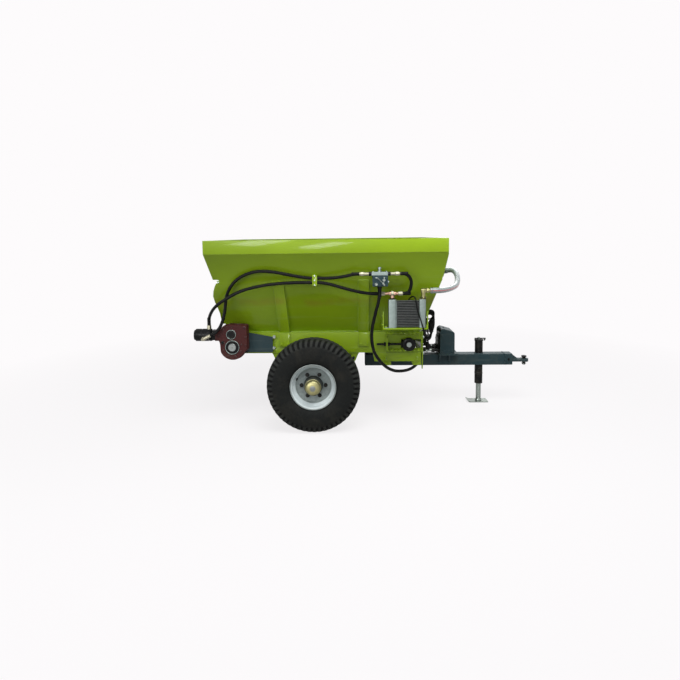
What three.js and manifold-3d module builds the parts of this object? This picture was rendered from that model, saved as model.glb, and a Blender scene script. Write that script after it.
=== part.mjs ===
// Trailed fertilizer spreader with a belt floor, a beater at the rear and its own hydraulics.
// Millimetres, +X towards the tractor, +Y to the machine's left, +Z up. Stations along X are
// measured from the axle; the last lines move the whole machine so that X = 0 is mid length.
import * as THREE from "three";
import { mergeVertices } from "three/addons/utils/BufferGeometryUtils.js";
import Module from "manifold-3d";

const wasm = await Module();
wasm.setup();

// ---------------------------------------------------------------- driving dimensions
const GAP = 0.3; // between touching pieces
const RIGHT = -1; // side with the valve and the gearbox
const LEFT = 1;
const MID_LENGTH = 541; // half way between the motor's rear end and the hitch eye's nose

const TYRE_R = 430;
const TRACK_HALF = 832; // centre plane of a tyre
const TYRE_HALF_WIDTH = 130;
const RIM_R = 213;
const BEAD_R = 195;

const RIM_TOP = 1765; // hopper's upper edge
const BAND_BOTTOM = 1640;
const KNEE = 1400; // where the end walls change slope
const WALL_FOOT = 858.3;
const SHEET = 6; // thickness of the hopper's sheet
const RIM_HALF = 850;
const LIP = 34; // width of the rim's lip, which turns inward
const LIP_FOOT = RIM_TOP - SHEET;
const BAND_HALF = 848;
const FOOT_HALF = 478;

const RAIL_TOP = 858;
const RAIL_BOTTOM = 655;
const RAIL_OUT = 525; // outer face of a frame rail
const RAIL_SHEET = 8;
const RAIL_REAR = -925;
const RAIL_FRONT = 1040;

const DRUM_R = 70;
const DRUM_Z = 742;
const DRIVE_X = -790;
const IDLER_X = 908;
const BELT = 10;
const BELT_HALF = 430;

const AXLE_HALF = 50;
const DRAWBAR_BOTTOM = 409;
const DRAWBAR_TOP = 525;
const DRAWBAR_HALF = 60;
const JACK_X = 1718;
const SEGMENTS = 32;

const BEATER_X = -780;
const BEATER_Z = 985;
const PUMP = { rear: 1268, body: 1290, front: 1420, half: 100, bottom: 545.6, top: 760 };
const COOLER = { rear: 698, front: 1043, near: -770, far: -705, bottom: 936, top: 1203 };

// ---------------------------------------------------------------- solids
function solid(geometry) {
  const bare = geometry.index ? geometry.toNonIndexed() : geometry.clone();
  bare.deleteAttribute("normal");
  bare.deleteAttribute("uv");
  const merged = mergeVertices(bare, 1e-4);
  return new wasm.Manifold(new wasm.Mesh({
    numProp: 3,
    vertProperties: new Float32Array(merged.attributes.position.array),
    triVerts: new Uint32Array(merged.index.array),
  }));
}

function geometryOf(body) {
  const mesh = body.getMesh();
  const geometry = new THREE.BufferGeometry();
  geometry.setAttribute("position", new THREE.BufferAttribute(mesh.vertProperties.slice(), 3));
  geometry.setIndex(new THREE.BufferAttribute(mesh.triVerts.slice(), 1));
  geometry.computeVertexNormals();
  return geometry;
}

const join = (...bodies) => bodies.reduce((sum, body) => sum.add(body));
const cut = (body, ...tools) => tools.reduce((left, tool) => left.subtract(tool), body);

// A block between two corners.
function block(x0, x1, y0, y1, z0, z1) {
  const geometry = new THREE.BoxGeometry(Math.abs(x1 - x0), Math.abs(y1 - y0), Math.abs(z1 - z0));
  geometry.translate((x0 + x1) / 2, (y0 + y1) / 2, (z0 + z1) / 2);
  return solid(geometry);
}

// A body with eight corners: four below, then the four above them, counter-clockwise from above.
function hexa(corners) {
  const faces = [0, 2, 1, 0, 3, 2, 4, 5, 6, 4, 6, 7, 0, 1, 5, 0, 5, 4,
    1, 2, 6, 1, 6, 5, 2, 3, 7, 2, 7, 6, 3, 0, 4, 3, 4, 7];
  const geometry = new THREE.BufferGeometry();
  geometry.setAttribute("position", new THREE.Float32BufferAttribute(corners.flat(), 3));
  geometry.setIndex(faces);
  return solid(geometry);
}

// A layer between two levels, each [z, xRear, xFront, yNear, yFar].
function layer([z0, a0, b0, c0, d0], [z1, a1, b1, c1, d1]) {
  return hexa([[a0, c0, z0], [b0, c0, z0], [b0, d0, z0], [a0, d0, z0],
    [a1, c1, z1], [b1, c1, z1], [b1, d1, z1], [a1, d1, z1]]);
}

// A round bar between two points; sides sets how many faces it has.
function bar(radius, from, to, sides = SEGMENTS) {
  const start = new THREE.Vector3(...from);
  const along = new THREE.Vector3(...to).sub(start);
  const geometry = new THREE.CylinderGeometry(radius, radius, along.length(), sides);
  geometry.translate(0, along.length() / 2, 0);
  const turn = new THREE.Quaternion().setFromUnitVectors(new THREE.Vector3(0, 1, 0), along.normalize());
  geometry.applyQuaternion(turn);
  geometry.translate(...from);
  return solid(geometry);
}

// An outline in X and Z, filled from y0 to y1.
function slabXZ(outline, y0, y1) {
  const shape = new THREE.Shape(outline.map(([x, z]) => new THREE.Vector2(x, z)));
  const geometry = new THREE.ExtrudeGeometry(shape, { depth: Math.abs(y1 - y0), bevelEnabled: false });
  geometry.rotateX(Math.PI / 2);
  geometry.translate(0, Math.max(y0, y1), 0);
  return solid(geometry);
}

// A profile of [radius, along] turned round a line along Y through x and z. It starts and ends on
// that line or closes on itself, and runs so that the solid is on its left.
function turned(profile, x, z, side, segments = SEGMENTS) {
  const onAxis = profile[0][0] === 0;
  const closed = onAxis ? profile : [...profile, profile[0]];
  const area = closed.reduce((sum, [r, u], i) => {
    const [r1, u1] = closed[(i + 1) % closed.length];
    return sum + (r * u1 - r1 * u) / 2;
  }, 0);
  const ordered = area > 0 ? closed : closed.slice().reverse();
  const geometry = new THREE.LatheGeometry(ordered.map(([r, u]) => new THREE.Vector2(r, u)), segments);
  if (side < 0) geometry.rotateX(Math.PI);
  geometry.translate(x, 0, z);
  return solid(geometry);
}

// Points of an arc in a plane, from one angle in degrees to another.
function arc(cx, cz, radius, from, to, steps) {
  return Array.from({ length: steps + 1 }, (_, i) => {
    const angle = THREE.MathUtils.degToRad(from + ((to - from) * i) / steps);
    return [cx + radius * Math.cos(angle), cz + radius * Math.sin(angle)];
  });
}

// A hose along a smooth curve through its route.
function hose(route, diameter, steps, sides = 8) {
  const curve = new THREE.CatmullRomCurve3(route.map((p) => new THREE.Vector3(...p)), false, "centripetal");
  const section = new THREE.Shape();
  for (let i = 0; i < sides; i += 1) {
    const angle = (2 * Math.PI * i) / sides;
    const [x, y] = [Math.cos(angle) * diameter / 2, Math.sin(angle) * diameter / 2];
    if (i === 0) section.moveTo(x, y);
    else section.lineTo(x, y);
  }
  return new THREE.ExtrudeGeometry(section, { steps, extrudePath: curve, bevelEnabled: false });
}

// ---------------------------------------------------------------- finishes
const FINISH = {
  green: { color: 0x86a82c, roughness: 0.35, metalness: 0.1 },
  slate: { color: 0x475a60, roughness: 0.5, metalness: 0.1 },
  silver: { color: 0xbcc6c6, roughness: 0.4, metalness: 0.6 },
  zinc: { color: 0xc4ccc8, roughness: 0.35, metalness: 0.9 },
  black: { color: 0x1c1f20, roughness: 0.5, metalness: 0.2 },
  red: { color: 0x5e2620, roughness: 0.45, metalness: 0.1 },
  rubber: { color: 0x1d1e1d, roughness: 0.85, metalness: 0 },
  belt: { color: 0x2a2b2a, roughness: 0.9, metalness: 0 },
  steel: { color: 0x9aa0a0, roughness: 0.35, metalness: 0.9 },
  brass: { color: 0xb9a04c, roughness: 0.3, metalness: 0.9 },
  aluminium: { color: 0xc9d2d0, roughness: 0.4, metalness: 0.8 },
  clear: { color: 0xa9b4b0, roughness: 0.3, metalness: 0 },
};

const machine = new THREE.Group();
machine.position.x = -MID_LENGTH;

function place(name, finish, body) {
  const geometry = body.isBufferGeometry ? body : geometryOf(body);
  const mesh = new THREE.Mesh(geometry, new THREE.MeshStandardMaterial(FINISH[finish]));
  mesh.name = name;
  machine.add(mesh);
}

// ---------------------------------------------------------------- hopper
// Outside of the hopper's side at a height.
function wallHalf(z) {
  const t = (z - WALL_FOOT) / (BAND_BOTTOM - WALL_FOOT);
  return z >= BAND_BOTTOM ? BAND_HALF : FOOT_HALF + t * (BAND_HALF - FOOT_HALF);
}

// A pair of distances from the machine's middle, on one side, in rising order.
const onSide = (side, a, b) => (side < 0 ? [-b, -a] : [a, b]);

// Stations of the side wall's rear and front edges: z, rear, front.
const LOW = [WALL_FOOT, -880, 1027];
const MIDDLE = [KNEE, -880, 1200];
const NOTCH = [KNEE, -935, 1200];
const HIGH = [BAND_BOTTOM, -990, 1235];
const TOP = [RIM_TOP, -990, 1235];
const WALL_DEPTH = 8; // sheet measured across, along Y

// Posts on the sides: station of the post's middle at its foot, its lean and its half width.
const POSTS = [{ x: -299, lean: -28, half: 50 }, { x: 472, lean: 0, half: 50 }];
const POST_FOOT = 724;
const POST_PROUD = { foot: 46, top: 12 };

// Outside of the rear door and of the side's cheek beside it, from the hinge to the foot: x, z.
const DOOR = [[-912, 1363], [-930, 1330], [-948, 1285], [-958, 1236], [-950, 1180], [-930, 1110],
  [-918, 1060], [-915, 985], [-925, 950]];

function hopperSide(side) {
  const level = ([z, rear, front], half) => [z, rear, front, ...onSide(side, half - WALL_DEPTH, half)];
  const lower = layer(level(LOW, wallHalf(WALL_FOOT)), level(MIDDLE, wallHalf(KNEE)));
  const upper = layer(level(NOTCH, wallHalf(KNEE)), level(HIGH, BAND_HALF));
  const band = layer(level(HIGH, RIM_HALF), level(TOP, RIM_HALF));
  const lip = block(-990, 1235, side * (RIM_HALF - LIP), side * RIM_HALF, LIP_FOOT, RIM_TOP);
  const cheek = DOOR.slice(1).map(([x1, z1], i) => layer(level([z1, x1, LOW[1] + 1], wallHalf(z1)),
    level([DOOR[i][1], DOOR[i][0], LOW[1] + 1], wallHalf(DOOR[i][1]))));
  const wall = join(lower, upper, band, lip, ...cheek, ...POSTS.map((post) => hopperPost(post, side)));
  if (side === RIGHT) return wall;
  const shaftHole = bar(32, [BEATER_X, 400, BEATER_Z], [BEATER_X, 700, BEATER_Z], 24);
  return cut(wall, shaftHole);
}

// A folded post stands proud of the wall, stands on the rail's top and fades out at the knee.
function hopperPost({ x, lean, half }, side) {
  const face = (z, middle, proud) => [z, middle - half, middle + half,
    ...onSide(side, wallHalf(z) - WALL_DEPTH / 2, wallHalf(z) + proud)];
  return layer(face(WALL_FOOT, x, POST_PROUD.foot), face(KNEE - 15, x + lean, POST_PROUD.top));
}

place("hopper_side_right", "green", hopperSide(RIGHT));
place("hopper_side_left", "green", hopperSide(LEFT));

// End walls fit between the sides.
const endHalf = (z) => wallHalf(z) - WALL_DEPTH - GAP;
const across = (z, x0, x1) => [z, x0, x1, -endHalf(z), endHalf(z)];
// Band and lip along an end wall's upper edge; the band reaches the sides under their lips.
function endRim(outer, inward) {
  const [skin, edge] = [inward * SHEET, inward * LIP].map((depth) => outer + depth);
  const [between, reach] = [RIM_HALF - LIP - GAP, RIM_HALF - WALL_DEPTH - GAP];
  const band = block(outer, skin, -between, between, BAND_BOTTOM, RIM_TOP);
  const ends = block(outer, skin, -reach, reach, BAND_BOTTOM, LIP_FOOT - GAP);
  const lip = block(outer, edge, -between, between, LIP_FOOT, RIM_TOP);
  return join(band, ends, lip);
}

// The front wall's foot turns back over the belt's front end.
const FOOT_FLANGE_REAR = 975;

function frontWall() {
  const lower = layer(across(WALL_FOOT, 1027 - SHEET, 1027), across(KNEE, 1200 - SHEET, 1200));
  const upper = layer(across(KNEE, 1200 - SHEET, 1200), across(BAND_BOTTOM, 1235 - SHEET, 1235));
  const half = endHalf(WALL_FOOT);
  const flange = block(FOOT_FLANGE_REAR, 1025, -half, half, WALL_FOOT, WALL_FOOT + SHEET);
  return join(lower, upper, endRim(1235, -1), flange);
}
place("hopper_front_wall", "green", frontWall());

// Rear board with the fixed rod and ears of the rear door's hinge under it.
const HINGE_X = -912;
const HINGE_Z = 1376;
const HINGE_HALF = 640;
const EARS = [-560, 0, 560];
const EAR_HALF = 6;
const BARREL_R = 13;
const ROD_R = 7;

function hingeBar(radius, half, sides) {
  return bar(radius, [HINGE_X, -half, HINGE_Z], [HINGE_X, half, HINGE_Z], sides);
}

function rearBoard() {
  const upper = layer(across(KNEE, -935, -935 + SHEET), across(BAND_BOTTOM, -990, -990 + SHEET));
  const ears = EARS.map((y) => slabXZ([[-935, 1400], [-925, 1366], [-905, 1362], [-899, 1376], [-905, 1402],
    [-929, 1425]], y - EAR_HALF, y + EAR_HALF));
  const rod = hingeBar(ROD_R, HINGE_HALF, 16);
  return join(upper, endRim(-990, 1), ...ears, rod);
}
place("hopper_rear_board", "green", rearBoard());

// Rear door: bent sheet that hangs from a barrel on the hinge rod.
const DOOR_SHEET = 6;
const DOOR_CLEAR = 16;

function rearDoor() {
  const half = (z) => wallHalf(z) - DOOR_CLEAR;
  const strips = DOOR.slice(1).map(([x1, z1], i) => {
    const [x0, z0] = DOOR[i];
    return layer([z1, x1, x1 + DOOR_SHEET, -half(z1), half(z1)],
      [z0, x0, x0 + DOOR_SHEET, -half(z0), half(z0)]);
  });
  const barrelHalf = HINGE_HALF - 12;
  const barrel = hingeBar(BARREL_R, barrelHalf, 20);
  const neck = block(HINGE_X - 1, HINGE_X + 7, -barrelHalf, barrelHalf, HINGE_Z - 19, HINGE_Z - 9);
  const bore = hingeBar(ROD_R + 2, HINGE_HALF + 60, 16);
  const slotHalf = EAR_HALF + 5;
  const slots = EARS.map((y) => block(-960, -880, y - slotHalf, y + slotHalf, HINGE_Z - 22, HINGE_Z + 24));
  return cut(join(...strips, barrel, neck), bore, ...slots);
}
place("rear_door", "green", rearDoor());

// ---------------------------------------------------------------- frame
const WINDOW = { rear: 838, front: 1030, bottom: 700, top: 784 }; // opening for the take-up

function frameRail(side) {
  const strip = (inner, z0, z1) => block(RAIL_REAR, RAIL_FRONT, side * inner, side * RAIL_OUT, z0, z1);
  const web = strip(RAIL_OUT - RAIL_SHEET, RAIL_BOTTOM, RAIL_TOP);
  const top = strip(440, RAIL_TOP - RAIL_SHEET, RAIL_TOP);
  const bottom = strip(470, RAIL_BOTTOM, RAIL_BOTTOM + RAIL_SHEET);
  const feet = POSTS.map(({ x, half }) => block(x - half, x + half, side * (RAIL_OUT - 1),
    side * (RAIL_OUT + 20), POST_FOOT, RAIL_TOP));
  const shaftHole = bar(45, [DRIVE_X, side * 400, DRUM_Z], [DRIVE_X, side * 600, DRUM_Z], 24);
  const window = block(WINDOW.rear, WINDOW.front, side * 400, side * 600, WINDOW.bottom, WINDOW.top);
  return cut(join(web, top, bottom, ...feet), shaftHole, window);
}
place("frame_rail_right", "green", frameRail(RIGHT));
place("frame_rail_left", "green", frameRail(LEFT));

// Plate across the front with a pointed foot at each end.
function frontPlate() {
  const plate = block(RAIL_FRONT + GAP, RAIL_FRONT + GAP + 10, -RAIL_OUT, RAIL_OUT, 600, RAIL_TOP);
  const feet = [RIGHT, LEFT].map((side) => {
    const tip = side * (RAIL_OUT - 26);
    return layer([486, RAIL_FRONT + GAP, RAIL_FRONT + 10 + GAP, tip - 8, tip + 8],
      [600, RAIL_FRONT + GAP, RAIL_FRONT + 10 + GAP, ...onSide(side, RAIL_OUT - 60, RAIL_OUT)]);
  });
  return join(plate, ...feet);
}
place("frame_front_plate", "green", frontPlate());

// Cross tubes between the rails, inside the belt's loop.
const CROSS_TUBES = [{ name: "frame_cross_tube_rear", x: -430 }, { name: "frame_cross_tube_front", x: 400 }];
CROSS_TUBES.forEach(({ name, x }) => {
  const inner = RAIL_OUT - RAIL_SHEET - GAP;
  place(name, "green", block(x - 30, x + 30, -inner, inner, 705, 765));
});

// Channels under the rails with two bridges that carry the drawbar.
const CHANNEL = { rear: 560, front: 1031, bottom: 566, top: RAIL_BOTTOM - GAP };
function drawbarCradle() {
  const outline = [[CHANNEL.rear, CHANNEL.top], [CHANNEL.rear + 18, CHANNEL.bottom],
    [CHANNEL.front, CHANNEL.bottom], [CHANNEL.front, CHANNEL.top]];
  const arms = [RIGHT, LEFT].map((side) => slabXZ(outline, side * 465, side * RAIL_OUT));
  const bridges = [660, 951].map((x) => block(x, x + 80, -520, 520, DRAWBAR_TOP + GAP, 580));
  return join(...arms, ...bridges);
}
place("drawbar_cradle", "green", drawbarCradle());

// ---------------------------------------------------------------- axle and wheels
const AXLE_Z = TYRE_R;
function axleBeam() {
  const beamHalf = TRACK_HALF - 170;
  const beam = block(-AXLE_HALF, AXLE_HALF, -beamHalf, beamHalf, AXLE_Z - AXLE_HALF, AXLE_Z + AXLE_HALF);
  const spindles = [RIGHT, LEFT].map((side) => bar(35, [0, side * (beamHalf - 10), AXLE_Z],
    [0, side * (TRACK_HALF + 6), AXLE_Z]));
  return join(beam, ...spindles);
}
place("axle_beam", "slate", axleBeam());

function axleHanger(side) {
  const top = RAIL_BOTTOM - GAP;
  const plate = slabXZ([[-426, top], [-392, 575], [-130, 345], [130, 345], [392, 575], [426, top]],
    side * 500, side * 512);
  const foot = block(-426, 426, side * 470, side * 512, 643, top);
  const half = AXLE_HALF + GAP;
  const seat = block(-half, half, side * 400, side * 560, AXLE_Z - half, AXLE_Z + half);
  return cut(join(plate, foot), seat);
}
place("axle_hanger_right", "green", axleHanger(RIGHT));
place("axle_hanger_left", "green", axleHanger(LEFT));

// Half of the tyre's section: radius, distance from its centre plane.
const TYRE_HALF = [[BEAD_R + 1, 103], [216, 103], [226, 117], [262, 127], [315, TYRE_HALF_WIDTH], [374, 126],
  [406, 114], [424, 93], [TYRE_R, 58]];
const tyreProfile = [...TYRE_HALF, ...TYRE_HALF.slice().reverse().map(([r, u]) => [r, -u])];

// Rim section: outside of the barrel from the outer flange to the inner one, then back inside.
const rimProfile = [[BEAD_R - 0.5, 103.5], [206, 104.3], [RIM_R, 108], [RIM_R - 3, 114], [200, 113],
  [187, 104], [184, 60], [160, 44], [160, 34], [110, 30], [82, 24], [82, 12], [112, 18], [152, 22],
  [152, -36], [178, -60], [184, -104], [200, -113], [RIM_R - 3, -114], [RIM_R, -108], [206, -104.3],
  [BEAD_R - 0.5, -103.5], [BEAD_R - 0.5, -62], [164, -36], [164, 30], [BEAD_R - 0.5, 62]];

// Hub with its bore for the spindle and the long domed cap: radius, distance from the tyre's plane.
const hubProfile = [[0, 155], [38, 153], [60, 144], [69, 128], [70, 112], [78, 110], [80, 11.5],
  [140, 11.5], [140, -6], [88, -10], [74, -70], [36, -70], [36, 11], [0, 11]];

[[RIGHT, "right"], [LEFT, "left"]].forEach(([side, word]) => {
  const shifted = (profile) => profile.map(([r, u]) => [r, u + TRACK_HALF]);
  place(`tyre_${word}`, "rubber", turned(shifted(tyreProfile), 0, AXLE_Z, side));
  place(`rim_${word}`, "silver", turned(shifted(rimProfile), 0, AXLE_Z, side));
  place(`hub_${word}`, "silver", turned(shifted(hubProfile), 0, AXLE_Z, side));
});

// ---------------------------------------------------------------- belt floor and its drive
function stadium(radius, steps) {
  return [...arc(IDLER_X, DRUM_Z, radius, -90, 90, steps),
    ...arc(DRIVE_X, DRUM_Z, radius, 90, 270, steps)];
}
const LOOP_IN = DRUM_R + GAP;
place("conveyor_belt", "belt", cut(slabXZ(stadium(LOOP_IN + BELT, 16), -BELT_HALF, BELT_HALF),
  slabXZ(stadium(LOOP_IN, 16), -BELT_HALF - 5, BELT_HALF + 5)));

const DRIVE_SHAFT_R = 38;
place("drive_roller", "steel", join(bar(DRUM_R, [DRIVE_X, -425, DRUM_Z], [DRIVE_X, 425, DRUM_Z]),
  bar(DRIVE_SHAFT_R, [DRIVE_X, -664, DRUM_Z], [DRIVE_X, -420, DRUM_Z], 32),
  bar(30, [DRIVE_X, 420, DRUM_Z], [DRIVE_X, 580, DRUM_Z], 32)));

const IDLER_SHAFT_R = 26;
place("idler_roller", "steel", join(bar(DRUM_R, [IDLER_X, -425, DRUM_Z], [IDLER_X, 425, DRUM_Z]),
  bar(IDLER_SHAFT_R, [IDLER_X, -588, DRUM_Z], [IDLER_X, 588, DRUM_Z], 32)));

// Belt tightener: bearing block in the rail's window, its screw, nuts and stop plate.
function takeUp(side) {
  const outer = side * 562;
  const body = block(IDLER_X - 52, IDLER_X + 52, side * (RAIL_OUT + GAP), outer, DRUM_Z - 44, DRUM_Z + 44);
  const tongue = block(IDLER_X - 46, IDLER_X + 46, side * 505, side * (RAIL_OUT + 2),
    DRUM_Z - 36, DRUM_Z + 36);
  const housing = bar(66, [IDLER_X, side * (RAIL_OUT + 1), DRUM_Z], [IDLER_X, side * 575, DRUM_Z]);
  const screwY = side * 548;
  const screw = bar(11, [598, screwY, DRUM_Z], [IDLER_X - 50, screwY, DRUM_Z], 16);
  const nuts = [668, 706].map((x) => bar(21, [x, screwY, DRUM_Z], [x + 18, screwY, DRUM_Z], 6));
  const stop = block(688, 704, side * (RAIL_OUT + GAP), side * 590, 684, 812);
  const bore = bar(IDLER_SHAFT_R + GAP, [IDLER_X, side * 480, DRUM_Z], [IDLER_X, side * 620, DRUM_Z]);
  return cut(join(body, tongue, housing, screw, ...nuts, stop), bore);
}
place("take_up_right", "black", takeUp(RIGHT));
place("take_up_left", "black", takeUp(LEFT));

// Far end of the drive roller: flanged bearing.
place("drive_bearing_left", "black", cut(join(
  block(DRIVE_X - 62, DRIVE_X + 62, RAIL_OUT + GAP, 540, DRUM_Z - 62, DRUM_Z + 62),
  bar(52, [DRIVE_X, 538, DRUM_Z], [DRIVE_X, 572, DRUM_Z], 32)),
bar(30 + GAP, [DRIVE_X, 500, DRUM_Z], [DRIVE_X, 600, DRUM_Z], 32)));

// Gearbox on the drive roller: outline round the output shaft, then the bearing rings.
const GEARBOX = { inner: -535, outer: -650, capX: DRIVE_X - 8, capZ: DRUM_Z + 124, flangeX: -957 };
function gearbox() {
  const round = arc(0, 0, 125, -22, -158, 14);
  const outline = [[-107, 182], [-78, 205], [-20, 217], [143, 210], [146, -24], ...round, [-120, 34],
    [-145, 100], [-150, 146]].map(([x, z]) => [x + DRIVE_X, z + DRUM_Z]);
  const body = slabXZ(outline, GEARBOX.inner, GEARBOX.outer);
  const foot = block(DRIVE_X - 100, DRIVE_X + 120, -RAIL_OUT - GAP, GEARBOX.inner - 1,
    DRUM_Z + 60, RAIL_TOP - 10);
  const flange = block(GEARBOX.flangeX, -900, -545, -645, 804, 906);
  const ring = bar(76, [DRIVE_X, GEARBOX.outer + 1, DRUM_Z], [DRIVE_X, GEARBOX.outer - 8, DRUM_Z]);
  const cap = bar(47, [GEARBOX.capX, GEARBOX.outer + 1, GEARBOX.capZ],
    [GEARBOX.capX, GEARBOX.outer - 8, GEARBOX.capZ], 32);
  const bore = bar(DRIVE_SHAFT_R + GAP, [DRIVE_X, -500, DRUM_Z], [DRIVE_X, -700, DRUM_Z], 32);
  return cut(join(body, foot, flange, ring, cap), bore);
}
place("gearbox", "red", gearbox());

// Motor of the belt, end to end along X, with its two ports.
const MOTOR = { y: -595, z: 855, rear: -1162, r: 60 };
const MOTOR_TOP_PORT = [-1022, MOTOR.y, 950];
const MOTOR_SIDE_PORT = [-985, -694, 868];
place("conveyor_motor", "black", join(
  block(GEARBOX.flangeX - 26, GEARBOX.flangeX - GAP, -548, -642, 807, 903),
  bar(40, [-1000, MOTOR.y, MOTOR.z], [GEARBOX.flangeX - 20, MOTOR.y, MOTOR.z], 24),
  bar(MOTOR.r, [MOTOR.rear + 12, MOTOR.y, MOTOR.z], [-996, MOTOR.y, MOTOR.z], 32),
  bar(48, [MOTOR.rear, MOTOR.y, MOTOR.z], [MOTOR.rear + 14, MOTOR.y, MOTOR.z], 32),
  bar(19, [MOTOR_TOP_PORT[0], MOTOR.y, MOTOR.z], MOTOR_TOP_PORT, 12),
  bar(19, [-1062, MOTOR.y, 828], [-1062, -694, 828], 12),
  bar(19, [-1066, -694, 826], MOTOR_SIDE_PORT, 12)));

// ---------------------------------------------------------------- beater
// Tube with rows of flat teeth on a shaft; the rows follow each other round the tube.
const TEETH = { rows: 6, perRow: 5, reach: 105, half: 420, width: 40, thick: 10 };
function beater() {
  const parts = [bar(42, [BEATER_X, -455, BEATER_Z], [BEATER_X, 455, BEATER_Z], 24),
    bar(19, [BEATER_X, -502, BEATER_Z], [BEATER_X, 568, BEATER_Z], 24)];
  for (let row = 0; row < TEETH.rows; row += 1) {
    const angle = (row / TEETH.rows) * Math.PI * 2;
    for (let i = 0; i < TEETH.perRow; i += 1) {
      const pitch = (2 * TEETH.half) / TEETH.perRow;
      const y = -TEETH.half + pitch * (i + (row % 2 ? 0.75 : 0.25));
      const tooth = new THREE.BoxGeometry(TEETH.reach - 30, TEETH.width, TEETH.thick);
      tooth.translate(30 + (TEETH.reach - 30) / 2, 0, 0);
      tooth.rotateY(angle);
      tooth.translate(BEATER_X, y, BEATER_Z);
      parts.push(solid(tooth));
    }
  }
  return join(...parts);
}
place("beater", "slate", beater());

// A block between a hopper side and an upright plane at y.
function againstWall(side, x0, x1, z0, z1, y, offset = GAP) {
  const level = (z) => [z, x0, x1, ...[side * (wallHalf(z) + offset), y].sort((a, b) => a - b)];
  return layer(level(z0), level(z1));
}

const innerPad = againstWall(RIGHT, BEATER_X - 45, BEATER_X + 45, 945, 1025, -488, -WALL_DEPTH - GAP);
place("beater_bearing_right", "black", cut(innerPad,
  bar(20, [BEATER_X, -470, BEATER_Z], [BEATER_X, -506, BEATER_Z], 24)));

const BEATER_MOTOR = { face: 590, end: 725, r: 55 };
const BEATER_PORTS = [BEATER_X - 30, BEATER_X + 30];
place("beater_motor", "black", cut(join(
  againstWall(LEFT, BEATER_X - 60, BEATER_X + 60, 930, 1040, BEATER_MOTOR.face),
  bar(BEATER_MOTOR.r, [BEATER_X, BEATER_MOTOR.face - 2, BEATER_Z], [BEATER_X, BEATER_MOTOR.end, BEATER_Z]),
  ...BEATER_PORTS.map((x) => bar(17, [x, 690, BEATER_Z], [x, 690, BEATER_Z - 60], 12))),
bar(20, [BEATER_X, 500, BEATER_Z], [BEATER_X, 572, BEATER_Z], 24)));

// Two steel pipes from the beater's motor along the rail to the pump, held in one clamp bar.
const PIPE_R = 11;
// Straight lengths that run a little past each bend, so that they meet there.
function pipeRun(points) {
  return join(...points.slice(1).map((to, i) => {
    const start = new THREE.Vector3(...points[i]);
    const end = new THREE.Vector3(...to);
    const past = end.clone().sub(start).setLength(PIPE_R * 0.6);
    if (i > 0) start.sub(past);
    if (i < points.length - 2) end.add(past);
    return bar(PIPE_R, start.toArray(), end.toArray(), 8);
  }));
}
const CLAMP_STATIONS = [-560, 160, 720];
function steelLines() {
  const [rearPort, frontPort] = BEATER_PORTS;
  const upper = pipeRun([[rearPort, 690, BEATER_Z - 60.3], [rearPort, 690, 902],
    [BEATER_X - 10, 640, 898], [1082, 640, 898], [1110, 600, 890], [1110, 116, 665], [1110, 85, 598],
    [PUMP.body - GAP, 85, 598]]);
  const lower = pipeRun([[frontPort, 690, BEATER_Z - 60.3], [frontPort, 690, 884],
    [BEATER_X + 50, 640, 874], [1060, 640, 874], [1082, 600, 862], [1082, 96, 637], [1082, 62, 568],
    [PUMP.body - GAP, 62, 568]]);
  const foot = RAIL_TOP + GAP;
  const clamps = CLAMP_STATIONS.map((x) => block(x - 15, x + 15, 622, 658, foot, 912));
  const feet = CLAMP_STATIONS.map((x) => block(x - 15, x + 15, 500, 630, foot, RAIL_TOP + 6));
  return join(upper, lower, ...clamps, ...feet);
}
place("steel_lines_left", "black", steelLines());

// ---------------------------------------------------------------- drawbar, hitch and jack
const JACK_TUBE_R = 41.5;
const JACK_LEG_R = 26.5;
const HITCH = { rear: 1981, front: 2060, eyeX: 2199, eyeR: 45, bore: 20, bottom: 437, top: 461 };

function drawbar() {
  const outer = block(497, HITCH.rear - GAP, -DRAWBAR_HALF, DRAWBAR_HALF, DRAWBAR_BOTTOM, DRAWBAR_TOP);
  const wall = 8;
  const inner = block(400, HITCH.rear + 10, -DRAWBAR_HALF + wall, DRAWBAR_HALF - wall,
    DRAWBAR_BOTTOM + wall, DRAWBAR_TOP - wall);
  return cut(outer, inner, bar(JACK_TUBE_R + GAP, [JACK_X, 0, 300], [JACK_X, 0, 700]));
}
place("drawbar", "slate", drawbar());

function hitchEye() {
  const head = block(HITCH.rear, HITCH.front, -DRAWBAR_HALF, DRAWBAR_HALF, DRAWBAR_BOTTOM, DRAWBAR_TOP);
  const tongue = block(HITCH.front - 2, HITCH.eyeX, -42, 42, HITCH.bottom, HITCH.top);
  const eye = bar(HITCH.eyeR, [HITCH.eyeX, 0, HITCH.bottom - 3], [HITCH.eyeX, 0, HITCH.top + 3]);
  const web = slabXZ([[HITCH.front - 2, DRAWBAR_TOP - 4], [2138, HITCH.top - 1],
    [HITCH.front - 2, HITCH.top - 1]], -8, 8);
  const bore = bar(HITCH.bore, [HITCH.eyeX, 0, 300], [HITCH.eyeX, 0, 600], 24);
  return cut(join(head, tongue, eye, web), bore);
}
place("hitch_eye", "slate", hitchEye());
place("hitch_pin", "black", join(bar(17, [HITCH.eyeX, 0, 398], [HITCH.eyeX, 0, 482], 20),
  bar(27, [HITCH.eyeX, 0, 480], [HITCH.eyeX, 0, 494], 20)));

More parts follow.
